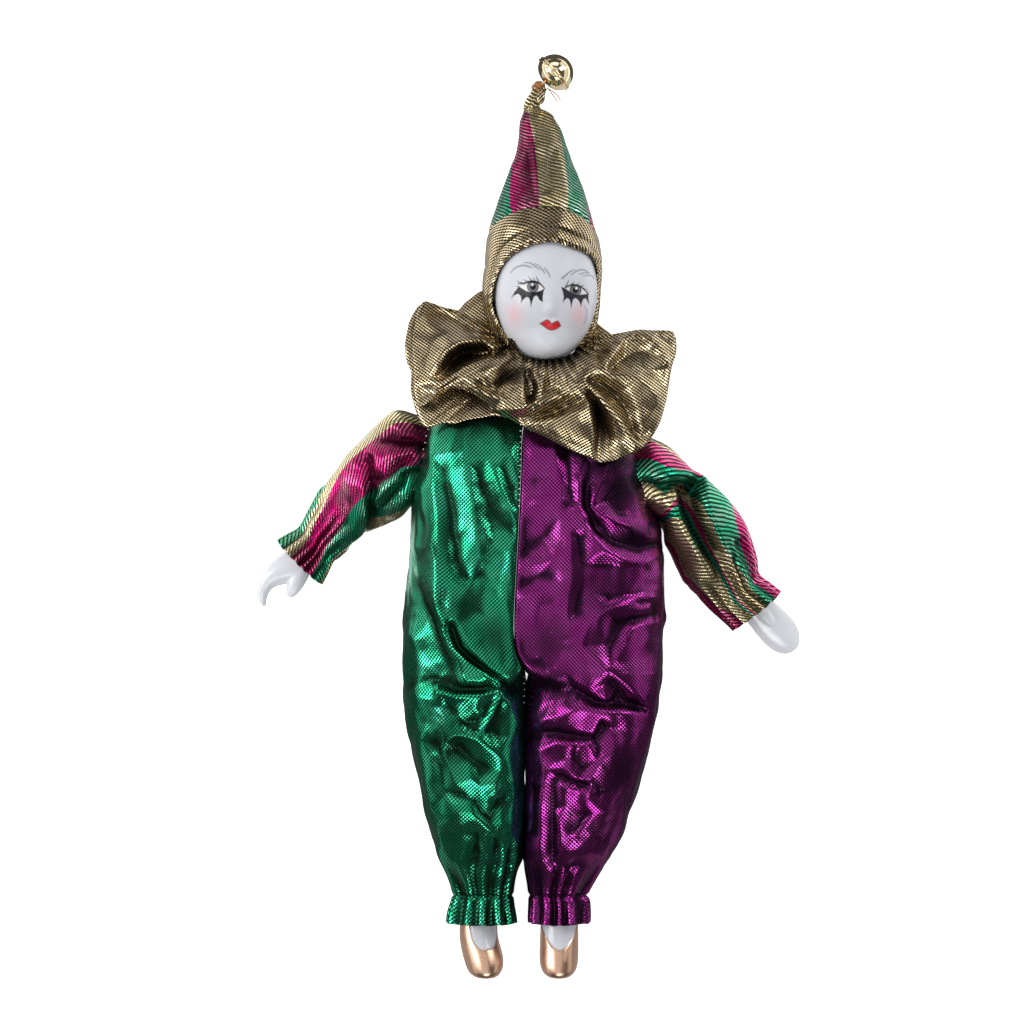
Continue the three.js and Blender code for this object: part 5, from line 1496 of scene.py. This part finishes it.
def head():
    piece = added(bpy.ops.mesh.primitive_uv_sphere_add, "glazed_head", segments=48, ring_count=36,
                  radius=MM, rotation=(math.pi / 2, 0, 0))
    bpy.ops.object.transform_apply(location=False, rotation=True, scale=False)
    for axis, low, high in ((0, HEAD_HALF_WIDTH, HEAD_HALF_WIDTH), (1, HEAD_CHIN, HEAD_CROWN),
                            (2, HEAD_BACK, HEAD_FRONT)):
        for part, factor in ((-1, low), (1, high)):
            pick(piece, spots_of(piece)[:, axis] / MM * part > 1e-4)
            bpy.ops.transform.resize(value=[factor if k == axis else 1 for k in range(3)],
                                     center_override=(0, 0, 0))
            bpy.ops.object.mode_set(mode="OBJECT")
    modified(piece, "smooth", "SUBSURF", levels=2, render_levels=2)
    for _, (x, y), out, spread in PULLS:
        spots = spots_of(piece) / MM
        near = np.hypot(spots[:, 0] - x, spots[:, 1] - y) + 100 * (spots[:, 2] < 0)
        pick(piece, near <= max(near.min(), min(0.5, spread / 4)))
        share = 1 if spread > WIDE_PULL else SMALL_PULL_SHARE
        bpy.ops.transform.translate(value=(0, 0, out * MM * share), use_proportional_edit=True,
                                    proportional_edit_falloff="SMOOTH", proportional_size=spread * MM)
        bpy.ops.object.mode_set(mode="OBJECT")
    only(piece)
    piece.matrix_world = (Matrix.Translation(HEAD_MIDDLE) @ Matrix.Rotation(HEAD_TURN, 4, "Y")
                          @ Matrix.Rotation(HEAD_TILT, 4, "Z"))
    bpy.ops.object.transform_apply()

    length = HEAD_MIDDLE.y / MM - NECK_BASE
    neck = added(bpy.ops.mesh.primitive_cylinder_add, vertices=64, radius=NECK_RADIUS * MM,
                 depth=length * MM, rotation=(math.pi / 2, 0, 0),
                 location=Vector((HEAD_MIDDLE.x / MM, NECK_BASE + length / 2, NECK_HEIGHT)) * MM)
    modified(piece, "neck", "BOOLEAN", operation="UNION", object=neck, solver="EXACT")
    bpy.data.objects.remove(neck)
    return piece


head_piece = head()
print("head", len(head_piece.data.vertices), "points before the paint")

# %% [markdown]
# Each eye has a fan of dark spikes painted under it. Brows, lashes and a tear are single brush strokes,
# given as points with the brush's width there. All are measured in mm on the photograph.

# %% Face paint
EYE_WHITES = in_mm(
    100,
    [(-257, 6126), (-135, 6207), (0, 6251), (122, 6267), (243, 6251), (351, 6191), (446, 6089),
     (365, 6013), (243, 5972), (81, 5959), (-68, 6002), (-176, 6070)],
    [(986, 6099), (1080, 6143), (1202, 6170), (1323, 6164), (1431, 6126), (1539, 6021), (1634, 5916),
     (1512, 5910), (1377, 5900), (1242, 5940), (1107, 6008)])
IRISES, GLINTS = in_mm(
    100,
    [(132, 6121), (1285, 6029)],
    [(119, 6180), (1310, 6083)])
SPIKES = in_mm(
    100,
    [(-248, 6134), (-351, 5994), (-459, 5808), (-370, 5894), (-265, 5932), (-194, 5873), (-176, 5778),
     (-200, 5673), (-130, 5770), (-41, 5851), (27, 5829), (62, 5724), (81, 5570), (116, 5724), (157, 5840),
     (221, 5889), (270, 5846), (308, 5765), (405, 5705), (400, 5846), (421, 5981), (448, 6083),
     (351, 6018), (216, 5981), (68, 5975), (-54, 6008), (-162, 6078)],
    [(896, 6121), (934, 6008), (969, 5846), (934, 5689), (983, 5754), (1061, 5819), (1123, 5775),
     (1150, 5684), (1161, 5527), (1193, 5684), (1220, 5781), (1285, 5819), (1358, 5765), (1404, 5684),
     (1436, 5565), (1453, 5684), (1493, 5786), (1550, 5813), (1593, 5748), (1658, 5632), (1636, 5792),
     (1636, 5937), (1512, 5916), (1377, 5905), (1242, 5943), (1107, 6008), (994, 6083)])
LASHES = in_mm(
    100,
    [(-270, 6207, 14), (-135, 6210, 30), (0, 6251, 38), (116, 6267, 44), (243, 6245, 40), (351, 6180, 34),
     (448, 6078, 20)],
    [(-297, 6272, 5), (-189, 6234, 16), (-81, 6213, 20)],
    [(-122, 6318, 4), (-14, 6264, 16), (54, 6245, 20)],
    [(14, 6396, 4), (68, 6326, 14), (135, 6261, 20)],
    [(227, 6396, 4), (259, 6315, 15), (302, 6234, 22)],
    [(149, 6369, 3), (176, 6305, 10), (203, 6256, 14)],
    [(-324, 6132, 4), (-243, 6137, 12)],
    [(1004, 6099, 30), (1080, 6137, 28), (1202, 6175, 34), (1323, 6164, 30), (1431, 6121, 28),
     (1526, 6035, 24), (1634, 5921, 20)],
    [(1096, 6294, 5), (1069, 6218, 16), (1026, 6126, 26)],
    [(1247, 6256, 4), (1204, 6207, 14), (1161, 6170, 20)],
    [(1404, 6229, 4), (1339, 6191, 12), (1269, 6164, 18)],
    [(1512, 6164, 4), (1445, 6143, 12), (1391, 6137, 16)],
    [(1620, 6045, 3), (1539, 6062, 8), (1458, 6099, 14)],
    [(1652, 5991, 3), (1593, 5981, 8)])
BROWS = in_mm(
    100,
    [(-473, 6494, 5), (-378, 6602, 16), (-270, 6666, 22), (-162, 6693, 24), (-27, 6683, 24),
     (108, 6639, 10)],
    [(-108, 6769, 5), (27, 6769, 14), (149, 6709, 20), (243, 6634, 18), (308, 6580, 6)],
    [(176, 6753, 5), (297, 6683, 15), (405, 6564, 20), (459, 6483, 6)],
    [(446, 6639, 6), (513, 6548, 20), (567, 6467, 20), (599, 6375, 6)],
    [(923, 6348, 30), (1026, 6440, 26), (1134, 6526, 20), (1258, 6585, 6)],
    [(1172, 6440, 12), (1269, 6520, 20), (1404, 6575, 20), (1539, 6569, 16), (1647, 6494, 5)],
    [(1377, 6461, 5), (1512, 6494, 14), (1658, 6488, 5)],
    [(1485, 6412, 4), (1620, 6429, 12), (1728, 6412, 12), (1782, 6342, 5)])
TEAR, LIP_LINE, LIPS, BLUSH = in_mm(
    100,
    [(1528, 5603, 10), (1582, 5495, 26), (1593, 5387, 30), (1566, 5252, 26), (1512, 5106, 8)],
    [(324, 5127, 16), (432, 5100, 10), (540, 5106, 10), (648, 5073, 12), (756, 5100, 10), (880, 5068, 14)],
    [(313, 5133), (392, 5181), (497, 5241), (578, 5219), (643, 5138), (707, 5176), (799, 5214),
     (853, 5165), (896, 5068), (821, 4998), (729, 4955), (637, 4938), (529, 4965), (432, 5041)],
    [(-359, 5370), (1377, 5370)])
IRIS, PUPIL, GLINT = 1.45, 0.82, 0.36
INK, CHARCOAL, GREY = (0.004, 0.003, 0.006), (0.022, 0.02, 0.03), (0.15, 0.14, 0.17)
LIP_RED, LIP_DARK, BLUSH_PINK = (0.62, 0.004, 0.012), (0.09, 0.002, 0.01), (0.68, 0.38, 0.42)
EYE_WHITE, IRIS_GREY, TEAR_BLUE = (0.66, 0.64, 0.64), (0.16, 0.16, 0.17), (0.2, 0.27, 0.42)
GLINT_WHITE = (0.75, 0.75, 0.78)
BRUSHWORK = (  # strokes, paint, how well it covers, how much wider the brush spreads, how soft its edge is
    (LASHES, INK, 0.95, 0.05, 0.1), (BROWS, GREY, 0.85, 0.08, 0.16), ([TEAR], TEAR_BLUE, 0.75, 0.1, 0.25))
FINE_PARTS = ((-6.6, 54.2), (19.4, 69.0)), ((2.4, 48.8), (9.6, 53.2))  # round the eyes and the mouth


def from_outline(places, corners):
    """Distance in mm from each place to a closed outline, negative inside it."""
    nearest = np.full(len(places), 1e9)
    inside = np.zeros(len(places), bool)
    for a, b in zip(corners, np.roll(corners, -1, 0)):
        edge = b - a
        t = np.clip(((places - a) @ edge) / (edge @ edge), 0, 1)
        nearest = np.minimum(nearest, np.linalg.norm(places - a - t[:, None] * edge, axis=1))
        crosses = (a[1] > places[:, 1]) != (b[1] > places[:, 1])
        rise = b[1] - a[1] if b[1] != a[1] else 1e-9
        inside ^= crosses & (places[:, 0] < a[0] + (places[:, 1] - a[1]) / rise * edge[0])
    return np.where(inside, -nearest, nearest)


def from_stroke(places, stroke):
    """Distance from each place to the edge of a brush stroke of (x, y, width) points."""
    nearest = np.full(len(places), 1e9)
    for x, y, width in curve(stroke, np.linspace(0, 1, 12 * len(stroke))):
        nearest = np.minimum(nearest, np.hypot(places[:, 0] - x, places[:, 1] - y) - width / 2)
    return nearest


def covered(distance, soft=0.07):
    return np.clip(0.5 - distance / (2 * soft), 0, 1)


def paint_face(piece):
    """Cuts the painted part of the face finely and works out its colours."""
    for low, high in FINE_PARTS:
        spots = spots_of(piece) / MM
        flat = seen(spots)
        pick(piece, ((flat > low) & (flat < high)).all(1) & (spots[:, 2] > HEAD_MIDDLE.z / MM + 2))
        bpy.ops.mesh.subdivide(number_cuts=3)
        bpy.ops.object.mode_set(mode="OBJECT")
    spots = spots_of(piece) / MM
    flat = seen(spots)
    colour = np.tile(np.array(PORCELAIN), (len(spots), 1))
    at = np.flatnonzero((spots[:, 2] > HEAD_MIDDLE.z / MM) & (flat[:, 1] > 48))
    places = flat[at]

    def lay(tint, share):
        share = np.asarray(share)[:, None]
        colour[at] = colour[at] * (1 - share) + np.array(tint) * share

    for x, y in BLUSH:
        lay(BLUSH_PINK, 0.6 * np.exp(-((places[:, 0] - x) ** 2 / 4.5 + (places[:, 1] - y) ** 2 / 9)))
    for white, iris, glint, spikes, ink in zip(EYE_WHITES, IRISES, GLINTS, SPIKES, (INK, CHARCOAL)):
        opening = covered(from_outline(places, white))
        lay(EYE_WHITE, opening)
        x, y = (places - iris).T
        away = np.hypot(x, y)
        streaks = 0.6 + 0.4 * np.sin(26 * np.arctan2(y, x))
        lay(IRIS_GREY, opening * covered(away - IRIS))
        lay(GREY, opening * covered(away - IRIS) * streaks * 0.5)
        lay(INK, opening * 0.9 * np.exp(-((away - IRIS) / 0.16) ** 2))
        lay(INK, opening * covered(away - PUPIL, 0.1))
        # Painted shade: the upper part of each eye opening is darkened under the lid.
        lay(INK, opening * 0.5 * smooth(y, 0.2, 1.3))
        lay(ink, covered(from_outline(places, spikes), 0.1))
        lay(GLINT_WHITE, 0.95 * covered(np.hypot(*(places - glint).T) - GLINT, 0.12))
    for strokes, paint, share, spread, soft in BRUSHWORK:
        for stroke in strokes:
            lay(paint, share * covered(from_stroke(places, stroke) - spread, soft))
    lips = from_outline(places, LIPS)
    lay(LIP_DARK, 0.9 * covered(lips - 0.02, 0.1))
    lay(LIP_RED, covered(lips + 0.28, 0.25))
    lay(LIP_DARK, 0.75 * covered(from_stroke(places, LIP_LINE), 0.2))
    painted(piece, colour, np.zeros(len(spots)), GLAZED_FACE)


paint_face(head_piece)
dress(head_piece, "head")

# %% [markdown]
# Hands and feet are slip-cast, so they are smooth, rounded forms with no sharp edge. A disc is
# extruded from station to station along the limb, and each new end is moved, turned and sized. A
# subdivision surface rounds the result. The hands get their thumbs by a boolean join, and a fine remesh
# softens the joint as the glaze does.

# %% Hands
# Stations along each limb: x, y, height, half width and half thickness in mm
HOOKED_PALM = [(-54.5, -7, 6.4, 2.9, 2.9), (-59.5, -11.3, 6.2, 3.6, 3.0), (-64.0, -14.4, 5.6, 4.5, 3.2),
               (-67.8, -15.8, 5.0, 4.0, 3.3), (-70.4, -17.6, 4.6, 3.0, 3.1), (-71.8, -20.2, 4.3, 2.0, 2.8),
               (-72.2, -22.8, 4.1, 1.35, 2.3), (-71.7, -24.6, 4.0, 0.8, 1.5), (-71.5, -25.3, 4.0, 0.35, 0.7)]
HOOKED_THUMB = [(-60.5, -12.5, 6.2, 2.6, 2.4), (-61.8, -16.2, 6.4, 2.9, 2.1), (-63.2, -19.6, 6.4, 2.3, 1.8),
                (-64.2, -21.8, 6.3, 1.5, 1.3), (-64.6, -22.8, 6.3, 0.6, 0.6)]
FLAT_PALM = [(55.5, -19.5, 6.6, 2.9, 2.9), (59, -22.8, 6.4, 3.7, 3.0), (62.5, -26.2, 5.4, 4.5, 2.9),
             (66, -29.8, 4.4, 5.2, 2.7), (69, -33, 3.6, 5.2, 2.4), (71, -35.8, 3.0, 4.0, 1.9),
             (72.1, -37.6, 2.7, 1.7, 1.0)]
FLAT_THUMB = [(60.8, -23.8, 7.2, 2.3, 1.5), (63.2, -26.6, 7.5, 2.0, 1.4), (65.3, -29.0, 7.2, 1.4, 1.2),
              (66.6, -30.6, 6.7, 0.6, 0.6)]


def limb(name, stations, sides=16):
    """A rounded limb, extruded from a disc through its stations."""
    spots = np.array(stations, float)
    path = np.gradient(spots[:, :2], axis=0)
    heading = np.unwrap(np.arctan2(path[:, 1], path[:, 0])) - math.pi / 2
    piece = added(bpy.ops.mesh.primitive_circle_add, name, vertices=sides, radius=MM, fill_type="NGON",
                  location=Vector(spots[0, :3]) * MM, rotation=(math.pi / 2, 0, heading[0]))
    piece.scale = (spots[0, 3], spots[0, 4], 1)
    bpy.ops.object.transform_apply()
    bpy.ops.object.mode_set(mode="EDIT")
    for k in range(1, len(spots)):
        bpy.ops.mesh.extrude_region_move(
            TRANSFORM_OT_translate={"value": Vector(spots[k, :3] - spots[k - 1, :3]) * MM})
        centre = Vector(spots[k, :3]) * MM
        bpy.ops.transform.rotate(value=heading[k - 1] - heading[k], orient_axis="Z", center_override=centre)
        width, thickness = spots[k, 3:] / spots[k - 1, 3:]
        bpy.ops.transform.resize(value=(width, 1, thickness), orient_type="GLOBAL",
                                 orient_matrix_type="GLOBAL", center_override=centre,
                                 orient_matrix=Matrix.Rotation(heading[k], 3, "Z"))
    bpy.ops.object.mode_set(mode="OBJECT")
    outward(piece)
    return piece


def hand(name, node, palm, thumb):
    piece, other = limb(name, palm), limb("thumb", thumb)
    rounded(other)
    rounded(piece)
    modified(piece, "thumb", "BOOLEAN", operation="UNION", object=other, solver="EXACT")
    bpy.data.objects.remove(other)
    modified(piece, "skin", "REMESH", mode="VOXEL", voxel_size=0.26 * MM)
    modified(piece, "glaze", "SMOOTH", factor=0.5, iterations=6)
    outward(piece)
    count = len(piece.data.vertices)
    # The hands take the porcelain that is painted lighter.
    painted(piece, np.tile(np.array(HANDS_PAINTED_LIGHTER), (count, 1)), np.zeros(count))
    dress(piece, node)


hand("right_hand", "hand_right", HOOKED_PALM, HOOKED_THUMB)
hand("left_hand", "hand_left", FLAT_PALM, FLAT_THUMB)

# %% [markdown]
# Each leg ends in a pointed slipper, cast in one with it and gilded in rose gold. Its top line dips in
# a U over the instep. The gilt stands a hair above the bare porcelain there, so that line is a real step.

# %% Legs and gilded slippers
LEG_STATIONS = [  # y, half width, underside, top
    (-98, 2.9, 4.6, 10.6), (-104, 3.2, 4.6, 10.6), (-108, 4.5, 3.4, 11.0), (-111, 4.95, 2.6, 11.5),
    (-114.5, 5.05, 2.0, 12.2), (-117.5, 5.1, 1.7, 13.0), (-120.6, 5.15, 2.6, 13.8), (-123.0, 4.7, 4.6, 14.1),
    (-124.5, 3.4, 6.8, 13.8), (-125.1, 1.7, 9.2, 12.6)]
ROSE_GOLD = (0.64, 0.4, 0.28)
TOPLINE_SIDE, TOPLINE_DIP, GILT_STEP = -110.4, 6.9, 0.22


def leg(name, node, ankle, toe, turn):
    """turn says how far the opening of the slipper lies to one side."""
    stations = [(ankle + (toe - ankle) * smooth(-y, 114, 124), y, (low + high) / 2, width, (high - low) / 2)
                for y, width, low, high in LEG_STATIONS]
    piece = limb(name, stations, 20)
    rounded(piece, 3)
    spots = spots_of(piece) / MM
    middle, level, width = (np.interp(-spots[:, 1], [-s[1] for s in stations], [s[k] for s in stations])
                            for k in (0, 2, 3))
    across = np.clip(np.abs(spots[:, 0] - middle - turn) / (width - 0.6 * turn), 0, 1)
    dip = TOPLINE_DIP * (1 - across ** (2.2 + turn)) * smooth(spots[:, 2] - level, -0.5, 1.5)
    gilt = smooth(TOPLINE_SIDE - dip - spots[:, 1], -0.18, 0.18)
    spots = spots + spots_of(piece, "normal") * (GILT_STEP * gilt)[:, None]
    piece.data.vertices.foreach_set("co", (spots * MM).ravel())
    painted(piece, np.array(PORCELAIN) * (1 - gilt[:, None]) + np.array(ROSE_GOLD) * gilt[:, None], gilt)
    outward(piece)
    dress(piece, node)


leg("right_leg", "leg_right", -13.4, -11.2, 1.6)
leg("left_leg", "leg_left", 8.5, 8.3, 0)

# %% [markdown]
# A jingle bell is pressed from thin brass in two cups that are clenched together at a flange. The
# front cup is deeper and has a hole at its pole, where the slots of a real one meet; the slots aren't
# cut here. Each cup is half a sphere, cut at its middle, flattened and given a wall.

# %% Bell
BELL_MIDDLE, BELL_AXIS = Vector((7.1, 119.2, 5.6)), math.radians(41.7)
BELL_RADIUS, FRONT_DEPTH, BACK_DEPTH, BELL_WALL = 5.2, 5.3, 3.6, 0.45
FLANGE_RADIUS, FLANGE_WIRE, FLANGE_LEVELS = 5.42, 0.28, (-0.36, 0.36)
POLE_HOLE, DRILL = 0.8, 8
SHANK_RADIUS, SHANK_WIRE, SHANK_LEVEL = 1.0, 0.32, -BACK_DEPTH - 0.6
BALL_RADIUS, BALL_PLACE = 1.5, Vector((0.4, -0.6, 0.8))


def polished_brass():
    material, shader = principled("polished_brass", Metallic=1.0)
    w = Wiring(material.node_tree)
    place = w.place()
    rubbed = w.ramp(w.noise(place, 500.0, 4.0), 0.3, 0.8)
    w.fill(shader, Base_Color=w.mix(rubbed, (0.74, 0.6, 0.36, 1), (0.86, 0.75, 0.52, 1)),
           Roughness=w.ramp(w.noise(place, 1500.0, 3.0), 0.3, 0.9, 0.06, 0.2),
           Normal=w.bump(w.noise(place, 260.0, 2.0), 0.15, 0.0003))
    return material


def torus(radius, wire, place, rotation=(0, 0, 0), segments=(40, 10)):
    """A wire ring measured in mm."""
    return added(bpy.ops.mesh.primitive_torus_add, major_radius=radius * MM, minor_radius=wire * MM,
                 major_segments=segments[0], minor_segments=segments[1], location=Vector(place) * MM,
                 rotation=rotation)


def cup(name, depth, side):
    piece = added(bpy.ops.mesh.primitive_uv_sphere_add, name, segments=96, ring_count=48,
                  radius=BELL_RADIUS * MM)
    bpy.ops.object.mode_set(mode="EDIT")
    bpy.ops.mesh.select_all(action="SELECT")
    bpy.ops.mesh.bisect(plane_co=(0, 0, 0), plane_no=(0, 0, side), clear_inner=True)
    bpy.ops.mesh.select_all(action="SELECT")
    bpy.ops.transform.resize(value=(1, 1, depth / BELL_RADIUS), center_override=(0, 0, 0))
    bpy.ops.object.mode_set(mode="OBJECT")
    modified(piece, "wall", "SOLIDIFY", thickness=BELL_WALL * MM, offset=-1, use_even_offset=True)
    return piece


def drilled(piece):
    """Cuts the pole hole through the front cup."""
    drill = added(bpy.ops.mesh.primitive_cylinder_add, vertices=32, radius=POLE_HOLE * MM,
                  depth=DRILL * MM, location=(0, 0, FRONT_DEPTH * MM))
    modified(piece, "hole", "BOOLEAN", operation="DIFFERENCE", object=drill, solver="EXACT")
    bpy.data.objects.remove(drill)
    return piece


def bell():
    parts = [drilled(cup("jingle_bell", FRONT_DEPTH, 1)), cup("back_cup", BACK_DEPTH, -1)]
    for level in FLANGE_LEVELS:
        parts.append(torus(FLANGE_RADIUS, FLANGE_WIRE, (0, 0, level), segments=(96, 12)))
    parts.append(torus(SHANK_RADIUS, SHANK_WIRE, (0, 0, SHANK_LEVEL), (math.pi / 2, 0, 0), (32, 12)))
    parts.append(added(bpy.ops.mesh.primitive_ico_sphere_add, subdivisions=4, radius=BALL_RADIUS * MM,
                       location=BALL_PLACE * MM))
    piece = joined(parts, "jingle_bell")
    bpy.ops.object.shade_smooth_by_angle(angle=math.radians(35))
    piece.matrix_world = (Matrix.Translation(BELL_MIDDLE * MM) @ Matrix.Rotation(BELL_AXIS, 4, "Z")
                          @ Matrix.Rotation(math.pi / 2, 4, "Y"))
    bpy.ops.object.transform_apply()
    piece.data.materials.clear()
    piece.data.materials.append(polished_brass())
    dress(piece, "bell")


bell()

# %% [markdown]
# Waxed thread binds the bell to the tip of the hat: turns round the tip, then a few loops through the
# bell's shank, and two loose ends. Each turn is a torus, tilted a little from the last, as hand winding
# leaves it.

# %% Thread
THREAD, LOOSE_END = 0.26, 0.12  # radius in mm, wound and unravelled
TURNS, LOOP_LEANS = 9, (-0.3, 0.05, 0.4)
TIP_END = Vector((2.3, 114.4, 5.6))
FIRST_TURN, LAST_TURN, LOOP = 1.75, 1.0, 1.45
LOOSE_ENDS = (
    [(5.2, 115.4, 5.8), (6.4, 114.0, 5.0), (7.5, 112.6, 4.2), (7.9, 111.9, 3.6)],
    [(5.4, 115.2, 5.2), (7.2, 114.2, 4.4), (8.6, 112.8, 3.4), (8.8, 112.2, 2.8)])


def waxed_thread(name, colour, dark):
    material, shader = principled(name, Sheen_Weight=0.3, Sheen_Roughness=0.4)
    w = Wiring(material.node_tree)
    fibre = w.ramp(w.noise(w.place(), 3800.0, 3.0), 0.35, 0.65)
    w.fill(shader, Base_Color=w.mix(fibre, (*dark, 1), (*colour, 1)),
           Roughness=w.ramp(fibre, 0.0, 1.0, 0.6, 0.35), Normal=w.bump(fibre, 0.5, 0.0001))
    return material


def strand(points):
    """A loose thread along a smooth path of (x, y, z) points in mm."""
    path = curve(points, np.linspace(0, 1, 10 * len(points)))
    shape = bpy.data.curves.new("strand", "CURVE")
    shape.dimensions = "3D"
    shape.bevel_depth = LOOSE_END * MM
    shape.bevel_resolution = 3
    shape.use_fill_caps = True
    spline = shape.splines.new("POLY")
    spline.points.add(len(path) - 1)
    spline.points.foreach_set("co", np.column_stack([path * MM, np.ones(len(path))]).ravel())
    piece = bpy.data.objects.new("strand", shape)
    bpy.context.collection.objects.link(piece)
    only(piece)
    bpy.ops.object.convert(target="MESH")
    return bpy.context.object


def binding():
    """Turns round the tip, loops through the shank and two loose ends."""
    away = Vector((math.cos(BELL_AXIS), math.sin(BELL_AXIS), 0))
    shank = BELL_MIDDLE - away * (BACK_DEPTH + 0.9)
    parts = []
    for k in range(TURNS):
        share = k / (TURNS - 1)
        size = FIRST_TURN - (FIRST_TURN - LAST_TURN) * share ** 1.5
        lean = (0.12 * math.sin(2.3 * k), math.pi / 2 + 0.1 * math.sin(1.7 * k + 1),
                BELL_AXIS + 0.16 * math.sin(3.1 * k))
        parts.append(torus(size, THREAD, TIP_END.lerp(shank, share), lean))
    for k, lean in enumerate(LOOP_LEANS):
        parts.append(torus(LOOP, THREAD, shank - away * 0.9, (lean, 0.2 * k, BELL_AXIS + 0.15 * k)))
    parts += [strand(points) for points in LOOSE_ENDS]
    piece = joined(parts, "binding_thread")
    bpy.ops.object.transform_apply()
    skin(piece, waxed_thread("waxed_thread", (0.5, 0.2, 0.055), (0.16, 0.05, 0.012)))
    dress(piece, "bell_tie")
    print("loose ends", [round(float(lengths(np.array(points))[-1]), 1) for points in LOOSE_ENDS], "mm")


binding()

# %% [markdown]
# Above the binding a little cloth of the hat's tip is left over, and it is turned down and caught under
# the thread. It is a flat limb of cloth, extruded in five steps like the hands. Its weave is laid on it
# from six sides, because it is too small for its seams to show.

# %% The turned-down tip
TURNED_DOWN = [(3.0, 115.0, 7.2, 0.7, 0.6), (3.6, 113.8, 8.0, 1.0, 0.6), (3.6, 112.3, 8.4, 1.2, 0.5),
               (3.3, 111.2, 8.4, 1.0, 0.45), (3.1, 110.6, 8.3, 0.5, 0.3)]
turned_down = limb("turned_down_tip", TURNED_DOWN, 14)
rounded(turned_down)
skin(turned_down, GOLD_LAME)
bpy.ops.object.mode_set(mode="EDIT")
bpy.ops.mesh.select_all(action="SELECT")
bpy.ops.uv.cube_project(cube_size=1)
bpy.ops.object.mode_set(mode="OBJECT")
turned_down.data.uv_layers[0].name = "cloth"
dress(turned_down)

# %% [markdown]
# The romper's halves are sewn with pale thread: a row of small stitches beside the centre seam, on the
# inner leg and at the right armhole. Each stitch is a short bead laid on the cloth, found by a ray cast
# down onto it.

# %% Stitches
STITCH_ROWS = [  # path as it appears, spacing in mm
    ([(-1.9, 24.0), (-2.0, 16.0), (-2.3, 6.0), (-2.4, 2.0)], 1.55),
    ([(-27.3, 23.1), (-27.8, 21.2), (-28.1, 19.6), (-28.6, 17.6)], 1.6),
    ([(-1.0, -44.5), (-0.9, -48.0), (-1.0, -51.7)], 1.7),
]
BEAD_RADIUS, BEAD_SHAPE = 0.22, (0.8, 1.1, 0.7, 1)
TALLEST, GROUND_CLOTH = 34, 4  # mm: where the rays are aimed, and below this they have missed the front


def stitches():
    surface = bpy.context.evaluated_depsgraph_get()
    pearl, _ = principled("stitch_thread", Base_Color=(0.75, 0.85, 0.78, 1), Roughness=0.35)
    first = added(bpy.ops.mesh.primitive_uv_sphere_add, segments=10, ring_count=6,
                  radius=BEAD_RADIUS * MM)
    copies = []
    for path, spacing in STITCH_ROWS:
        length = sum(math.dist(a, b) for a, b in zip(path, path[1:]))
        for x, y in curve(path, np.linspace(0, 1, int(length / spacing) + 1)):
            start = Vector(in_place([x, y, TALLEST])) * MM + Vector((0, 0, 0.03))
            hit, place, normal, *_ = bpy.context.scene.ray_cast(surface, start, Vector((0, 0, -1)))
            if not hit or place.z < GROUND_CLOTH * MM:
                continue
            copy = first.copy()
            copy.data = first.data.copy()
            bpy.context.collection.objects.link(copy)
            lie = normal.to_track_quat("Z", "Y").to_matrix().to_4x4()
            copy.matrix_world = Matrix.Translation(place) @ lie @ Matrix.Diagonal(BEAD_SHAPE)
            copies.append(copy)
    bpy.data.objects.remove(first)
    piece = joined(copies, "seam_stitches")
    bpy.ops.object.transform_apply()
    skin(piece, pearl)
    print(len(copies), "stitches")
    dress(piece)


stitches()

# %% [markdown]
# Last, the size of all pieces together is noted beside the size of the solids, and the model is finished.

# %% Sizes and finish
size = {"cad": [list(map(float, corner)) for corner in cad_box],
        "visual": [list(map(float, corner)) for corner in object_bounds()]}
